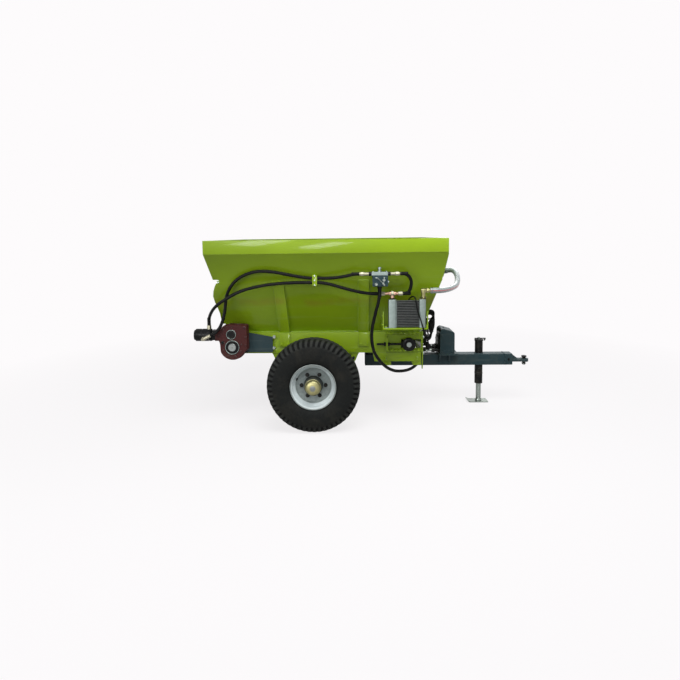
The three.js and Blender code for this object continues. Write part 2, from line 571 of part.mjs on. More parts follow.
const onJack = (radius, z0, z1, sides) => bar(radius, [JACK_X, 0, z0], [JACK_X, 0, z1], sides);
place("jack_tube", "black", cut(join(onJack(JACK_TUBE_R, 198, 664), onJack(46, 660, 674)),
  onJack(JACK_LEG_R + 2.5, 190, 652)));
const SOLE_HALF = 62; // the jack's foot plate, across the machine
place("jack_leg", "zinc", join(onJack(JACK_LEG_R, 8, 480),
  block(JACK_X - 92, JACK_X + 92, -SOLE_HALF, SOLE_HALF, 0, 10),
  layer([0, JACK_X - 112, JACK_X - 90, -SOLE_HALF, SOLE_HALF],
    [20, JACK_X - 128, JACK_X - 120, -SOLE_HALF, SOLE_HALF])));
place("jack_handle", "black", join(onJack(18, 674.3, 684, 20),
  block(JACK_X - 44, JACK_X + 72, -11, 11, 680, 688),
  bar(10, [JACK_X + 62, 0, 664], [JACK_X + 62, 0, 690], 12)));

// ---------------------------------------------------------------- pump on the drawbar
const HOOD = { rear: 1286, front: 1438, half: 120, top: 808, sheet: 5 };
function pumpBase() {
  const plate = block(1277, 1477, -125, 125, DRAWBAR_TOP + GAP, PUMP.bottom - GAP);
  const inner = DRAWBAR_HALF + GAP;
  const gusset = (side, x) => layer([448, x, x + 14, ...onSide(side, inner, DRAWBAR_HALF + 6)],
    [DRAWBAR_TOP + 2, x, x + 14, ...onSide(side, inner, 115)]);
  return join(plate, ...[RIGHT, LEFT].flatMap((side) => [1283, 1382].map((x) => gusset(side, x))));
}
place("pump_base", "slate", pumpBase());

function pump() {
  const body = block(PUMP.body, PUMP.front, -PUMP.half, PUMP.half, PUMP.bottom, PUMP.top);
  const head = bar(88, [PUMP.rear, 0, 655], [1292, 0, 655]);
  const stub = bar(17.5, [PUMP.front - 2, 0, 680], [1442, 0, 680], 12);
  const pressure = bar(22, [1140, -70, 575], [PUMP.body + 4, -70, 575], 12);
  const suction = bar(26, [1226, 0, 600], [PUMP.rear + 4, 0, 600], 16);
  return join(body, head, stub, pressure, suction);
}
place("pump", "black", pump());

function hood() {
  const rearTop = arc(1326, HOOD.top - 40, 40, 180, 95, 6);
  const frontTop = arc(1408, 752, 30, 60, 0, 4);
  const outline = [[HOOD.rear, 546], ...rearTop, ...frontTop, [HOOD.front, 546]];
  const shrink = ([x, z]) => [1370 + (x - 1370) * 1.2, z > 600 ? z - HOOD.sheet : z - 30];
  const shell = slabXZ(outline, -HOOD.half, HOOD.half);
  return cut(shell, slabXZ(outline.map(shrink), -HOOD.half + HOOD.sheet, HOOD.half - HOOD.sheet));
}
place("pump_hood", "slate", hood());

// ---------------------------------------------------------------- tank, cooler and valve
const TANK = { near: -80, far: 450, bottom: 1010, top: 1392, depth: 92 };
const frontAt = (z) => 1027 + ((z - WALL_FOOT) / (KNEE - WALL_FOOT)) * (1200 - 1027);
const TANK_PORT = [1338, -95, 1416];
const TANK_OUTLET = [1135, 0, 985];
function oilTank() {
  const level = (z) => [z, frontAt(z) + 6, frontAt(z) + 6 + TANK.depth, TANK.near, TANK.far];
  const body = layer(level(TANK.bottom), level(TANK.top));
  const neck = bar(28, [1250, 330, TANK.top - 2], [1250, 330, TANK.top + 26], 24);
  const cap = bar(40, [1250, 330, TANK.top + 24], [1250, 330, TANK.top + 44], 24);
  const port = bar(24, [1262, -28, 1388], TANK_PORT, 16);
  const outlet = bar(24, [1135, 0, 1012], TANK_OUTLET, 16);
  return join(body, neck, cap, port, outlet);
}
place("oil_tank", "slate", oilTank());

const COOLER_MID = (COOLER.near + COOLER.far) / 2;
const TANK_WIDTHS = { rear: 74, front: 83 };
const TEE = { x: 735, y: -745, z: 1258, rear: 612, front: 832 };
const ELBOW = { x: 1022, z: 1282, out: 1086 };
function cooler() {
  const tank = (x0, x1) => block(x0, x1, COOLER.near, COOLER.far, COOLER.bottom, COOLER.top);
  const rear = tank(COOLER.rear, COOLER.rear + TANK_WIDTHS.rear);
  const front = tank(COOLER.front - TANK_WIDTHS.front, COOLER.front);
  const core = block(COOLER.rear + 70, COOLER.front - 79, COOLER.near + 8, COOLER.far - 4, COOLER.bottom + 4,
    COOLER.top - 6);
  const port = (radius, x, y, rise) => bar(radius, [x, y, COOLER.top - 2], [x, y, COOLER.top + rise], 16);
  const inlet = port(20, TEE.x, TEE.y, 14);
  const outlet = port(22, ELBOW.x, COOLER_MID, 8);
  return join(rear, front, core, inlet, outlet);
}
place("oil_cooler", "aluminium", cooler());

const FAN = { x: 870, z: 1066 };
place("cooler_fan", "black", join(
  bar(112, [FAN.x, COOLER.far + GAP, FAN.z], [FAN.x, COOLER.far + 26, FAN.z]),
  bar(44, [FAN.x, COOLER.far + 20, FAN.z], [FAN.x, COOLER.far + 62, FAN.z], 24),
  bar(10, [FAN.x + 15, -661, FAN.z + 30], [FAN.x + 15, -661, 1130], 10)));

function coolerBracket() {
  const shelf = block(645, 1062, COOLER.near - 8, COOLER.far + 12, COOLER.bottom - 12, COOLER.bottom - GAP);
  const arms = [645, 1046].map((x) => againstWall(RIGHT, x, x + 8, COOLER.bottom - 12, COOLER.bottom + 24,
    COOLER.near - 8));
  const uprights = [645, 1054].map((x) => layer(
    [COOLER.bottom - 4, x, x + 8, COOLER.near - 8, COOLER.near + 34],
    [1092, x, x + 8, COOLER.near - 8, COOLER.near + 10]));
  return join(shelf, ...arms, ...uprights);
}
place("cooler_bracket", "green", coolerBracket());

const VALVE = { x: 615, y: -815, top: 1465, portZ: 1447, rear: 430, front: 800 };
function flowValve() {
  const body = block(550, 688, VALVE.y - 42, VALVE.y + 34, 1334, 1432);
  const head = block(541, 690, VALVE.y - 24, VALVE.y + 24, 1430, VALVE.top);
  const spindle = bar(16, [VALVE.x, VALVE.y, VALVE.top - 2], [VALVE.x, VALVE.y, 1508], 16);
  const ports = bar(17, [VALVE.rear, VALVE.y, VALVE.portZ], [VALVE.front, VALVE.y, VALVE.portZ], 12);
  const drain = bar(18, [VALVE.x, VALVE.y + 8, 1306], [VALVE.x, VALVE.y + 8, 1336], 12);
  const foot = againstWall(RIGHT, 585, 651, 1345, 1420, VALVE.y + 33);
  return join(body, head, spindle, ports, drain, foot);
}
place("flow_valve", "steel", flowValve());

place("tee_fitting", "brass", join(
  bar(17, [TEE.rear, TEE.y, TEE.z], [TEE.front, TEE.y, TEE.z], 12),
  bar(24, [TEE.x - 32, TEE.y, TEE.z], [TEE.x + 32, TEE.y, TEE.z], 12),
  bar(18, [TEE.x, TEE.y, TEE.z], [TEE.x, TEE.y, COOLER.top + 14 + GAP], 12)));
place("cooler_elbow", "brass", join(
  bar(21, [ELBOW.x, COOLER_MID, COOLER.top + 8 + GAP], [ELBOW.x, COOLER_MID, ELBOW.z], 12),
  bar(21, [ELBOW.x - 18, COOLER_MID, ELBOW.z], [ELBOW.out, COOLER_MID, ELBOW.z], 12)));

// ---------------------------------------------------------------- hoses
const HOSE = 30; // outside of the pressure hoses
const CLEAR_HOSE = 54;
const CLIP = { x: 20, y: -775, upper: 1410, lower: 1370 };

// Clip with two holes on a foot against the wall.
function hoseClip() {
  const [rear, front] = [CLIP.x - 22, CLIP.x + 22];
  const body = join(block(rear, front, CLIP.y - 19, CLIP.y + 19, 1342, 1438),
    againstWall(RIGHT, rear, front, 1350, 1430, CLIP.y + 18));
  const holes = [CLIP.upper, CLIP.lower].map((z) => bar(HOSE / 2 + 1.5,
    [rear - 18, CLIP.y, z], [front + 18, CLIP.y, z], 16));
  return cut(body, ...holes);
}
place("hose_clip", "green", hoseClip());

// Each route starts and ends with three points in line with the fitting that it meets.
const HOSES = [
  {
    name: "hose_valve_to_motor",
    d: HOSE,
    steps: 38,
    route: [
      [429.7, -815, 1447], [415, -815, 1447], [400, -815, 1447], [360, -812, 1440], [300, -805, 1427],
      [215, -793, 1414], [125, -780, 1409], [45, -775, 1410], [-5, -775, 1410], [-70, -778, 1416],
      [-160, -786, 1432], [-250, -793, 1451], [-345, -798, 1470], [-445, -799, 1480],
      [-540, -795, 1473], [-635, -782, 1442], [-712, -765, 1394], [-770, -745, 1330],
      [-805, -725, 1265], [-825, -710, 1198], [-835, -702, 1130], [-848, -698, 1062], [-868, -695, 998],
      [-895, -694, 942], [-928, -694, 903], [-958.4, -694, 881.9], [-971.7, -694, 875.1],
      [-984.7, -694, 868.2],
    ],
  },
  {
    name: "hose_motor_to_tee",
    d: HOSE,
    steps: 38,
    route: [
      [611.7, -745, 1258], [597, -745, 1258], [582, -745, 1258], [520, -750, 1261], [435, -760, 1276],
      [345, -768, 1298], [250, -774, 1326], [160, -776, 1352], [85, -775, 1366], [45, -775, 1370],
      [-5, -775, 1370], [-70, -775, 1371], [-165, -774, 1370], [-300, -774, 1364], [-435, -774, 1350],
      [-585, -774, 1320], [-680, -772, 1290], [-760, -770, 1252], [-820, -768, 1216],
      [-888, -752, 1172], [-940, -718, 1126], [-978, -675, 1080], [-1005, -630, 1038],
      [-1018, -603, 1004], [-1022, -595, 980], [-1022, -595, 965], [-1022, -595, 950.3],
    ],
  },
  {
    name: "hose_valve_loop",
    d: HOSE,
    steps: 13,
    route: [
      [800.3, -815, 1447], [812, -815, 1447], [824, -815, 1447], [860, -812, 1438], [890, -803, 1410],
      [905, -788, 1370], [904, -772, 1325], [892, -757, 1285], [870, -748, 1264], [856, -745, 1258],
      [844, -745, 1258], [832.3, -745, 1258],
    ],
  },
  {
    name: "hose_pump_to_valve",
    d: HOSE,
    steps: 36,
    route: [
      [615, -807, 1305.7], [615, -807, 1291], [615, -807, 1276], [611, -802, 1228], [600, -790, 1165],
      [582, -774, 1098], [565, -755, 1020], [550, -738, 945], [543, -722, 865], [548, -706, 785],
      [565, -690, 705], [600, -668, 635], [645, -642, 575], [700, -608, 522], [765, -565, 484],
      [825, -515, 466], [888, -460, 458], [945, -395, 458], [994, -322, 466], [1031, -252, 480],
      [1055, -190, 500], [1070, -138, 525], [1081, -101, 550], [1094, -78, 569], [1110, -70, 575],
      [1125, -70, 575], [1139.7, -70, 575],
    ],
  },
  {
    name: "hose_cooler_to_tank",
    d: CLEAR_HOSE,
    steps: 16,
    route: [
      [1338.3, -95.2, 1416.1], [1349.3, -104.9, 1420.1], [1360.5, -114.8, 1424.1],
      [1394, -150, 1428], [1416, -210, 1414], [1422, -290, 1380], [1408, -380, 1340],
      [1376, -470, 1304], [1322, -560, 1288], [1262, -640, 1281], [1205, -700, 1280],
      [1160, -730, 1281],
      [1112, -737.5, 1282], [1099, -737.5, 1282], [1086.3, -737.5, 1282],
    ],
  },
  {
    name: "hose_tank_to_pump",
    d: 42,
    steps: 10,
    route: [
      [1135, 0, 984.7], [1135, 0, 965], [1135, 0, 945], [1135, 0, 860], [1135, 0, 760], [1135, 0, 690],
      [1141, 0, 649], [1158, 0, 622], [1183, 0, 606], [1207, 0, 600], [1216, 0, 600], [1225.7, 0, 600],
    ],
  },
];
HOSES.forEach(({ name, d, steps, route }) => {
  place(name, d === CLEAR_HOSE ? "clear" : "rubber", hose(route, d, steps));
});

// Lead of the cooler's fan: over the cooler, down its front tank and into a hank at the front.
const LEAD = 13;
const LEAD_ROUTE = [
  [885, -661, 1130.3], [885, -661, 1142], [885, -661, 1154], [896, -672, 1190], [914, -703, 1217],
  [932, -746, 1228], [945, -782, 1210], [952, -794, 1168], [961, -794, 1115], [976, -792, 1060],
  [994, -790, 1005], [1011, -789, 950], [1027, -786, 905], [1046, -768, 873], [1068, -728, 857],
  [1082, -672, 852], [1088, -612, 850], [1090, -560, 853], [1090, -520, 858], [1090, -495, 862],
  [1090, -480, 864], [1090, -472, 864], [1090, -466.4, 864],
];
place("fan_lead", "black", hose(LEAD_ROUTE, LEAD, 30));

// The hank's outline leans forward with the wall: two round ends, seen along Y, its tail, and the
// plug under that.
const HANK = { low: [1100, 790], high: [1128, 1023], half: 42, near: -466, far: -396 };
const TAIL = { x: 1115, y: HANK.far - LEAD / 2, bottom: 735 };
place("fan_lead_hank", "black", join(slabXZ([
  ...arc(...HANK.high, HANK.half, 0, 180, 12),
  ...arc(...HANK.low, HANK.half, 180, 360, 12)], HANK.near, HANK.far),
bar(LEAD / 2, [TAIL.x, TAIL.y, TAIL.bottom], [TAIL.x, TAIL.y, HANK.low[1] + 6], 8)));
place("fan_lead_plug", "black", bar(22, [TAIL.x, TAIL.y, TAIL.bottom - 82],
  [TAIL.x, TAIL.y, TAIL.bottom - GAP], 20));

export default machine;
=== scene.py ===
"""Looks of a trailed fertilizer spreader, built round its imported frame.

Metres. +X points to the tractor, +Y to the machine's left, +Z up, as in the frame.
"""
import math

import bmesh
import bpy
import numpy as np
from bpy.props import FloatProperty, FloatVectorProperty, IntProperty, PointerProperty
from mathutils import Matrix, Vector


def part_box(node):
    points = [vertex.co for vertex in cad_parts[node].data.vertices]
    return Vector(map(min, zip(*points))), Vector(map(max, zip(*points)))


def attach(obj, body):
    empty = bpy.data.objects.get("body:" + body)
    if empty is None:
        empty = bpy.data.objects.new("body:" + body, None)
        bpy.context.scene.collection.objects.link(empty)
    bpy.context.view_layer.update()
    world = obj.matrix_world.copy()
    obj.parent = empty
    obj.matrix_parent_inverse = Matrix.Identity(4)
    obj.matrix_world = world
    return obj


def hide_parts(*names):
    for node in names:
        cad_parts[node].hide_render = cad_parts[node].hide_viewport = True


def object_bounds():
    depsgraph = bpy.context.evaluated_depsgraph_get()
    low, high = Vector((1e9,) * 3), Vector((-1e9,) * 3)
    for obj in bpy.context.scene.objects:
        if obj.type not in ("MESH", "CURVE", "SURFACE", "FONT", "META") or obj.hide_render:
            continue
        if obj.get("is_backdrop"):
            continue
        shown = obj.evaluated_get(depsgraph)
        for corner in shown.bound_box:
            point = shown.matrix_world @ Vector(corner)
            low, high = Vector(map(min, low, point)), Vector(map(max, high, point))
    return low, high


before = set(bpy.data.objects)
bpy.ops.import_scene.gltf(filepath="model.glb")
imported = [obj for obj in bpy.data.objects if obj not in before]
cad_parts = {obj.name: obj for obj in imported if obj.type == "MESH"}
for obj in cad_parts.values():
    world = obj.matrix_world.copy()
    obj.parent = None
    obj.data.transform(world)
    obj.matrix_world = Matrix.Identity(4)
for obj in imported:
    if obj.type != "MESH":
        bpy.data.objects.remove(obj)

bl_info = {
    "name": "Fertilizer spreader looks",
    "version": (1, 0, 0),
    "blender": (4, 5, 0),
    "location": "View3D > Sidebar > Spreader",
    "description": "Finishes, hoses, fasteners and studio round the packed spreader",
    "category": "Object",
}

CAD_LOW, CAD_HIGH = (list(corner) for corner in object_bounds())
RIGHT, LEFT = -1, 1
# Directions; OUT is out of the machine's right side.
OUT, LEFTWARD, AHEAD, BACK = (0, -1, 0), (0, 1, 0), (1, 0, 0), (-1, 0, 0)
TAU = 2 * math.pi
GAP = 0.0005  # kept between an added piece and the face that it is bolted to


# ---------------- places from the frame
class Span:
    """A CAD node's lowest and highest corner, its middle and its size."""

    def __init__(self, node):
        self.low, self.high = (np.array(corner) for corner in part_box(node))
        self.mid = (self.low + self.high) / 2
        self.size = self.high - self.low


HUB = Span("hub_right")
TYRE = Span("tyre_right")
RAIL = Span("frame_rail_right")
BELT = Span("conveyor_belt")
HOOD = Span("pump_hood")
JACK = Span("jack_tube")
HANK = Span("fan_lead_hank")
BEATER = Span("beater")

AXLE_X, AXLE_Z = HUB.mid[0], HUB.mid[2]
TYRE_MID = -TYRE.mid[1]  # of both tyres, from the machine's middle
RAIL_FACE = -RAIL.low[1]
RAIL_TOP = 0.858
DRUM_Z = BELT.mid[2]  # height of both rollers' middles
DRUM_R = BELT.size[2] / 2 - 0.01
DRIVE_X = BELT.low[0] + BELT.size[2] / 2
IDLER_X = BELT.high[0] - BELT.size[2] / 2
# Heights of the hopper's foot, its knee, the foot of its rim band and its top.
WALL_FOOT, KNEE, BAND_FOOT, RIM_TOP = 0.8583, 1.4, 1.64, CAD_HIGH[2]


def at(x, y, z):
    """A place from its distance ahead of the axle, to the left and above the ground."""
    return np.array([AXLE_X + x, y, z], float)


def wall_half(z):
    """Half the width over the hopper's sides at a height: a straight line up to the rim band."""
    return np.interp(z, [WALL_FOOT, BAND_FOOT, RIM_TOP], [0.478, 0.848, 0.85])


def front_wall(z):
    """How far ahead of the axle the front wall's outer face lies: a straight line up to the
    knee and a steeper one above it."""
    return 1.027 + (z - WALL_FOOT) * 0.3194 if z < KNEE else 1.2 + (z - KNEE) * 0.1458


# ---------------- sizes and colours
def number(name, description, default, **kind):
    """A number that a user may change."""
    return FloatProperty(name=name, description=description, default=default, **kind)


def angle(name, description, degrees):
    """A turn."""
    return number(name, description, math.radians(degrees), subtype="ANGLE", unit="ROTATION")


def length(name, description, default):
    """A length in metres."""
    return number(name, description, default, min=0, subtype="DISTANCE", unit="LENGTH", precision=4)


def count(name, description, default):
    """A number of like things."""
    return IntProperty(name=name, description=description, default=default, min=1)


def colour(name, description, red, green, blue):
    """A colour given in the usual 0 to 255 steps of a display, kept as linear light."""
    steps = np.array([red, green, blue]) / 255
    linear = np.where(steps <= 0.04045, steps / 12.92, ((steps + 0.055) / 1.055) ** 2.4)
    return FloatVectorProperty(name=name, description=description, size=3, min=0, max=1,
                               default=tuple(linear), subtype="COLOR")


class SpreaderColours(bpy.types.PropertyGroup):
    """Base colours of the finishes; each is named as the record's material slot."""

    green_paint: colour("Green", "Enamel of hopper and frame", 143, 173, 26)
    slate_paint: colour("Slate", "Enamel of drawbar, hood and tank", 44, 64, 69)
    black_paint: colour("Black", "Paint of motors and jack", 13, 15, 16)
    red_paint: colour("Red", "Enamel of the belt's gearbox", 70, 27, 26)
    tyre_rubber: colour("Tyre", "Rubber of the tyres", 24, 26, 25)
    belt_rubber: colour("Belt", "Rubber of the belt floor", 24, 25, 24)
    hose_rubber: colour("Hose", "Cover of hoses and lead", 14, 15, 15)
    clear_hose: colour("Return hose", "Clear plastic over steel wire", 156, 168, 167)
    wheel_silver: colour("Rim", "Silver enamel of rims and hubs", 222, 232, 233)
    bare_steel: colour("Steel", "Turned shafts and valve", 120, 124, 122)
    zinc_plate: colour("Zinc", "Plated bolts, fittings and jack leg", 136, 144, 138)
    brass_fitting: colour("Brass", "Fittings and hub caps", 146, 142, 102)
    pale_fitting: colour("Pale fittings", "Passivated adapters and ports", 150, 147, 128)
    bare_aluminium: colour("Aluminium", "Oil cooler", 129, 141, 137)
    copper_fitting: colour("Copper", "Soldered tee over the cooler", 176, 144, 126)
    dust: colour("Dust", "Dry soil on rubber and low paint", 122, 114, 98)
    floor: colour("Floor", "Studio floor and backdrop", 253, 251, 252)


class SpreaderSizes(bpy.types.PropertyGroup):
    """Sizes of what is added to the frame."""

    hose: length("Pressure hose", "Diameter of the pressure hoses", 0.03)
    clear_hose: length("Return hose", "Diameter of the clear hose", 0.054)
    suction_hose: length("Suction hose", "Diameter of the hose from the tank", 0.042)
    lead: length("Fan lead", "Diameter of the fan's lead", 0.013)
    hank_turns: count("Hank turns", "Whole turns of the spare lead", 7)
    lugs: count("Tyre lugs", "Shoulder lugs round each side of a tyre", 52)
    lug_depth: length("Lug depth", "Depth of the tread", 0.01)
    bolt: length("Bolt", "Width across flats of the frame's bolts", 0.024)
    sheet_edge: length("Sheet edge", "Rounding of cut and folded sheet", 0.0018)
    bead: length("Weld", "Half width of the weld beads", 0.0045)
    fins: count("Cooler tubes", "Flat tubes across the oil cooler", 17)
    thread: length("Thread pitch", "Pitch of the belt tightener's screw", 0.004)


class SpreaderStage(bpy.types.PropertyGroup):
    """Camera and light."""

    camera_x: number("Camera X", "Camera's place along the machine", -0.199, unit="LENGTH")
    camera_y: number("Camera Y", "Camera's distance to the right side", -5.578, unit="LENGTH")
    camera_z: number("Camera Z", "Camera's height", 1.798, unit="LENGTH")
    yaw: angle("Yaw", "Turn towards the machine's rear", 1.63)
    pitch: angle("Pitch", "Look down", 4.977)
    roll: angle("Roll", "Lean of the camera", -0.726)
    lens: number("Lens", "Focal length in millimetres on a 36 mm sensor", 27.75)
    shift_x: number("Shift X", "Sideways shift of the lens", 0.00765)
    shift_y: number("Shift Y", "Upward shift of the lens", -0.0864)
    key: number("Key", "Power of the large lamp above, in watts", 222)
    fill: number("Fill", "Power of the lamp at the right side", 48)
    rear: number("Rear light", "Power of the lamp at the left side", 70)
    strips: number("Strips", "Power of the gloss lamps for each square metre", 60)
    sky: number("Sky", "Strength of the even light from all round", 0.42)


def colours():
    """The colours in use."""
    return bpy.context.scene.spreader_colours


def sizes():
    """The sizes in use."""
    return bpy.context.scene.spreader_sizes


# ---------------- shapes as whole arrays
class Shape:
    """Points, the corners of all faces one after another, and each face's number of corners."""

    def __init__(self, points, corners, counts):
        self.points = np.asarray(points, float).reshape(-1, 3)
        self.corners = np.asarray(corners, int).ravel()
        self.counts = np.asarray(counts, int).ravel()

    def __add__(self, other):
        return Shape(np.vstack([self.points, other.points]),
                     np.concatenate([self.corners, other.corners + len(self.points)]),
                     np.concatenate([self.counts, other.counts]))

    def __radd__(self, other):
        return self if isinstance(other, int) else other + self

    def flipped(self):
        """The same faces seen from their other side: all corners in the opposite order."""
        return Shape(self.points, self.corners[::-1], self.counts[::-1])

    def outward(self):
        """Faces turned outwards, told by the sign of the volume: the sum over all faces of the
        fan of triangles from the first corner, each with the origin."""
        start = np.repeat(np.cumsum(self.counts) - self.counts, self.counts)
        total = np.repeat(self.counts, self.counts)
        place = np.arange(len(self.corners)) - start
        following = start + (place + 1) % total
        p = self.points
        first, here, after = (p[self.corners[i]] for i in (start, np.arange(len(start)), following))
        volume = np.einsum("ij,ij->", first, np.cross(here, after))
        return self.flipped() if volume < 0 else self

    def moved(self, shift):
        """Every point moved by the same step."""
        return Shape(self.points + shift, self.corners, self.counts)

    def mirrored(self):
        """The other side's twin: Y changes sign and the faces are turned round again."""
        return Shape(self.points * [1, -1, 1], self.corners, self.counts).flipped()

    def copies(self, places, axis=(0, 0, 1), spin=0.0):
        """A copy at each place, its own Z turned to axis and itself turned by spin round it."""
        places = np.atleast_2d(places)
        c, s = math.cos(spin), math.sin(spin)
        own = self.points @ np.array([[c, s, 0], [-s, c, 0], [0, 0, 1]]) @ basis(axis)
        points = (places[:, None] + own[None]).reshape(-1, 3)
        shift = np.repeat(np.arange(len(places)) * len(own), len(self.corners))
        return Shape(points, np.tile(self.corners, len(places)) + shift,
                     np.tile(self.counts, len(places)))


def unit(vectors):
    """Vectors divided by their lengths."""
    vectors = np.asarray(vectors, float)
    return vectors / np.linalg.norm(vectors, axis=-1, keepdims=True)


def shares(many, start=0.0):
    """Angles that share a whole turn evenly."""
    return start + np.arange(many) * TAU / many


def basis(axis):
    """Three unit vectors at right angles to each other, the last along axis."""
    along = unit(axis)
    across = unit(np.cross((0, 0, 1) if abs(along[2]) < 0.9 else (0, 1, 0), along))
    return np.stack([across, np.cross(along, across), along])


def surface(points, loop_u=False):
    """Faces over a grid of points: v runs round each section, u from section to section. The
    first and the last section get one face each, unless loop_u joins them to each other."""
    n, m = points.shape[:2]
    u = np.arange(n if loop_u else n - 1)[:, None]
    v = np.arange(m)[None, :]
    here, ahead = u * m, ((u + 1) % n) * m
    corners = np.stack([here + v, ahead + v, ahead + (v + 1) % m, here + (v + 1) % m], -1).ravel()
    counts = np.full(len(corners) // 4, 4)
    if not loop_u:
        corners = np.concatenate([corners, np.arange(m), np.arange((n - 1) * m, n * m)[::-1]])
        counts = np.concatenate([counts, [m, m]])
    return Shape(points, corners, counts).outward()


def lathe(profile, centre=(0, 0, 0), axis=(0, 0, 1), segments=32, loop=False):
    """A profile of (radius, along) turned round a line: radius times cosine and sine of the
    turn, and along as it is. loop joins the profile's last point to its first."""
    radius, along = np.asarray(profile, float).T
    turn = shares(segments)
    local = np.stack([radius[:, None] * np.cos(turn), radius[:, None] * np.sin(turn),
                      along[:, None] + 0 * turn], -1)
    return surface(local @ basis(axis) + centre, loop_u=loop)


def prism(outline, low, high, axis="Y"):
    """An outline in the plane across an axis, carried from low to high along it."""
    outline = np.asarray(outline, float)
    order = {"X": (2, 0, 1), "Y": (0, 2, 1), "Z": (0, 1, 2)}[axis]
    rings = np.stack([np.column_stack([outline, np.full(len(outline), level)])
                      for level in (low, high)])
    return surface(rings[..., order])


def block(x0, x1, y0, y1, z0, z1):
    """A block ahead of the axle between two stations, two sides and two heights."""
    low, high = at(x0, y0, z0), at(x1, y1, z1)
    corners = [(low[0], low[2]), (high[0], low[2]), (high[0], high[2]), (low[0], high[2])]
    return prism(corners, low[1], high[1])


def facing(points):
    """The same places without their Y, as an outline seen from the side."""
    return np.array(points)[..., [0, 2]]


def filleted(points, radius, steps=5, closed=False):
    """Corners rounded: each becomes the quadratic curve from radius before it to radius after."""
    p = np.asarray(points, float)
    before, after = np.roll(p, 1, 0) - p, np.roll(p, -1, 0) - p
    reach_b, reach_a = (np.minimum(radius, 0.49 * np.linalg.norm(d, axis=1))[:, None]
                        for d in (before, after))
    start, end = p + unit(before) * reach_b, p + unit(after) * reach_a
    t = np.linspace(0, 1, steps)[None, :, None]
    curve = (1 - t) ** 2 * start[:, None] + 2 * t * (1 - t) * p[:, None] + t**2 * end[:, None]
    if closed:
        return curve.reshape(-1, p.shape[1])
    return np.vstack([p[:1], curve[1:-1].reshape(-1, p.shape[1]), p[-1:]])


def oblong(low_a, high_a, low_b, high_b, radius, steps=5):
    """A rectangle with rounded corners between two limits each way."""
    corners = [(low_a, low_b), (high_a, low_b), (high_a, high_b), (low_a, high_b)]
    return filleted(corners, radius, steps, closed=True)


def run_of(points):
    """The way along a line to each of its points."""
    return np.concatenate([[0], np.cumsum(np.linalg.norm(np.diff(points, axis=0), axis=1))])


def even(points, spacing):
    """The same line with its points evenly spaced along it."""
    run = run_of(points)
    stations = np.linspace(0, run[-1], max(2, int(round(run[-1] / spacing)) + 1))
    return np.stack([np.interp(stations, run, axis) for axis in np.asarray(points).T], 1)


def smooth(points, spacing, steps=24):
    """A curve through the points: each stretch is a cubic whose end slopes weigh its neighbours
    by the square root of their distances; its points are then evenly spaced."""
    p = np.asarray(points, float)
    p = np.vstack([2 * p[0] - p[1], p, 2 * p[-1] - p[-2]])
    gap = np.sqrt(np.linalg.norm(np.diff(p, axis=0), axis=1))[:, None]
    d0, d1, d2 = gap[:-2], gap[1:-1], gap[2:]
    a, b, c, d = p[:-3], p[1:-2], p[2:-1], p[3:]
    leave = ((b - a) / d0 - (c - a) / (d0 + d1) + (c - b) / d1) * d1
    arrive = ((c - b) / d1 - (d - b) / (d1 + d2) + (d - c) / d2) * d1
    t = np.arange(steps) / steps
    t = t[None, :, None]
    b, c, leave, arrive = (x[:, None] for x in (b, c, leave, arrive))
    curve = (b + leave * t + (3 * (c - b) - 2 * leave - arrive) * t**2
             + (2 * (b - c) + leave + arrive) * t**3)
    return even(np.vstack([curve.reshape(-1, p.shape[1]), p[-2:-1]]), spacing)


def circle(radius, sides=12):
    """A round section as offsets across and over."""
    turn = shares(sides)
    return np.stack([radius * np.cos(turn), radius * np.sin(turn)], 1)


def strip(half_across, half_over):
    """A rectangular section as offsets across and over."""
    return np.array([(-half_across, -half_over), (half_across, -half_over),
                     (half_across, half_over), (-half_across, half_over)])


def sweep(path, section, up=(0, 0, 1), loop=False):
    """A closed solid of a section carried along a path: each station's point plus the section's
    offsets along the direction square to the path and to up, and along the one square to both."""
    path = np.asarray(path, float)
    if loop:
        along = unit(np.roll(path, -1, 0) - np.roll(path, 1, 0))
    else:
        along = unit(np.gradient(path, axis=0))
    across = unit(np.cross(up, along))
    over = np.cross(along, across)
    section = np.broadcast_to(section, (len(path),) + np.shape(section)[-2:])
    grid = path[:, None] + section[..., :1] * across[:, None] + section[..., 1:] * over[:, None]
    return surface(grid, loop_u=loop)


def rod(start, end, radius, sides=24, edge=0.0):
    """A round bar between two points; edge takes its sharp rims off."""
    start, end = np.asarray(start, float), np.asarray(end, float)
    reach = np.linalg.norm(end - start)
    profile = [(radius - edge, 0), (radius, edge), (radius, reach - edge), (radius - edge, reach)]
    return lathe(profile if edge else profile[1:3], start, end - start, sides)


def hex_between(start, end, across):
    """A six-sided bar between two points, its end corners taken off."""
    reach = np.linalg.norm(np.subtract(end, start))
    corner, off = across / math.sqrt(3), across * 0.08
    return lathe([(corner - off, 0), (corner, off), (corner, reach - off), (corner - off, reach)],
                 start, np.subtract(end, start), 6)


def in_line(build, axis, rows):
    """Bars in line with an axis. Each row gives where a bar starts and ends along it, the two
    other places in the order X, Y, Z, and then what build takes besides its two points."""
    order = {"X": [0, 1, 2], "Y": [1, 0, 2], "Z": [1, 2, 0]}[axis]
    bars = []
    for start, end, one, other, *rest in rows:
        tips = (at(*np.array([level, one, other])[order]) for level in (start, end))
        bars.append(build(*tips, *rest))
    return sum(bars)


def rods(axis, *rows):
    """Round bars in line with an axis; see in_line."""
    return in_line(rod, axis, rows)


def hexes(axis, *rows):
    """Six-sided bars in line with an axis; see in_line."""
    return in_line(hex_between, axis, rows)


def spots(x, y, z):
    """Every place with one of these stations, sides and heights."""
    return [at(a, b, c) for a in np.ravel(x) for b in np.ravel(y) for c in np.ravel(z)]


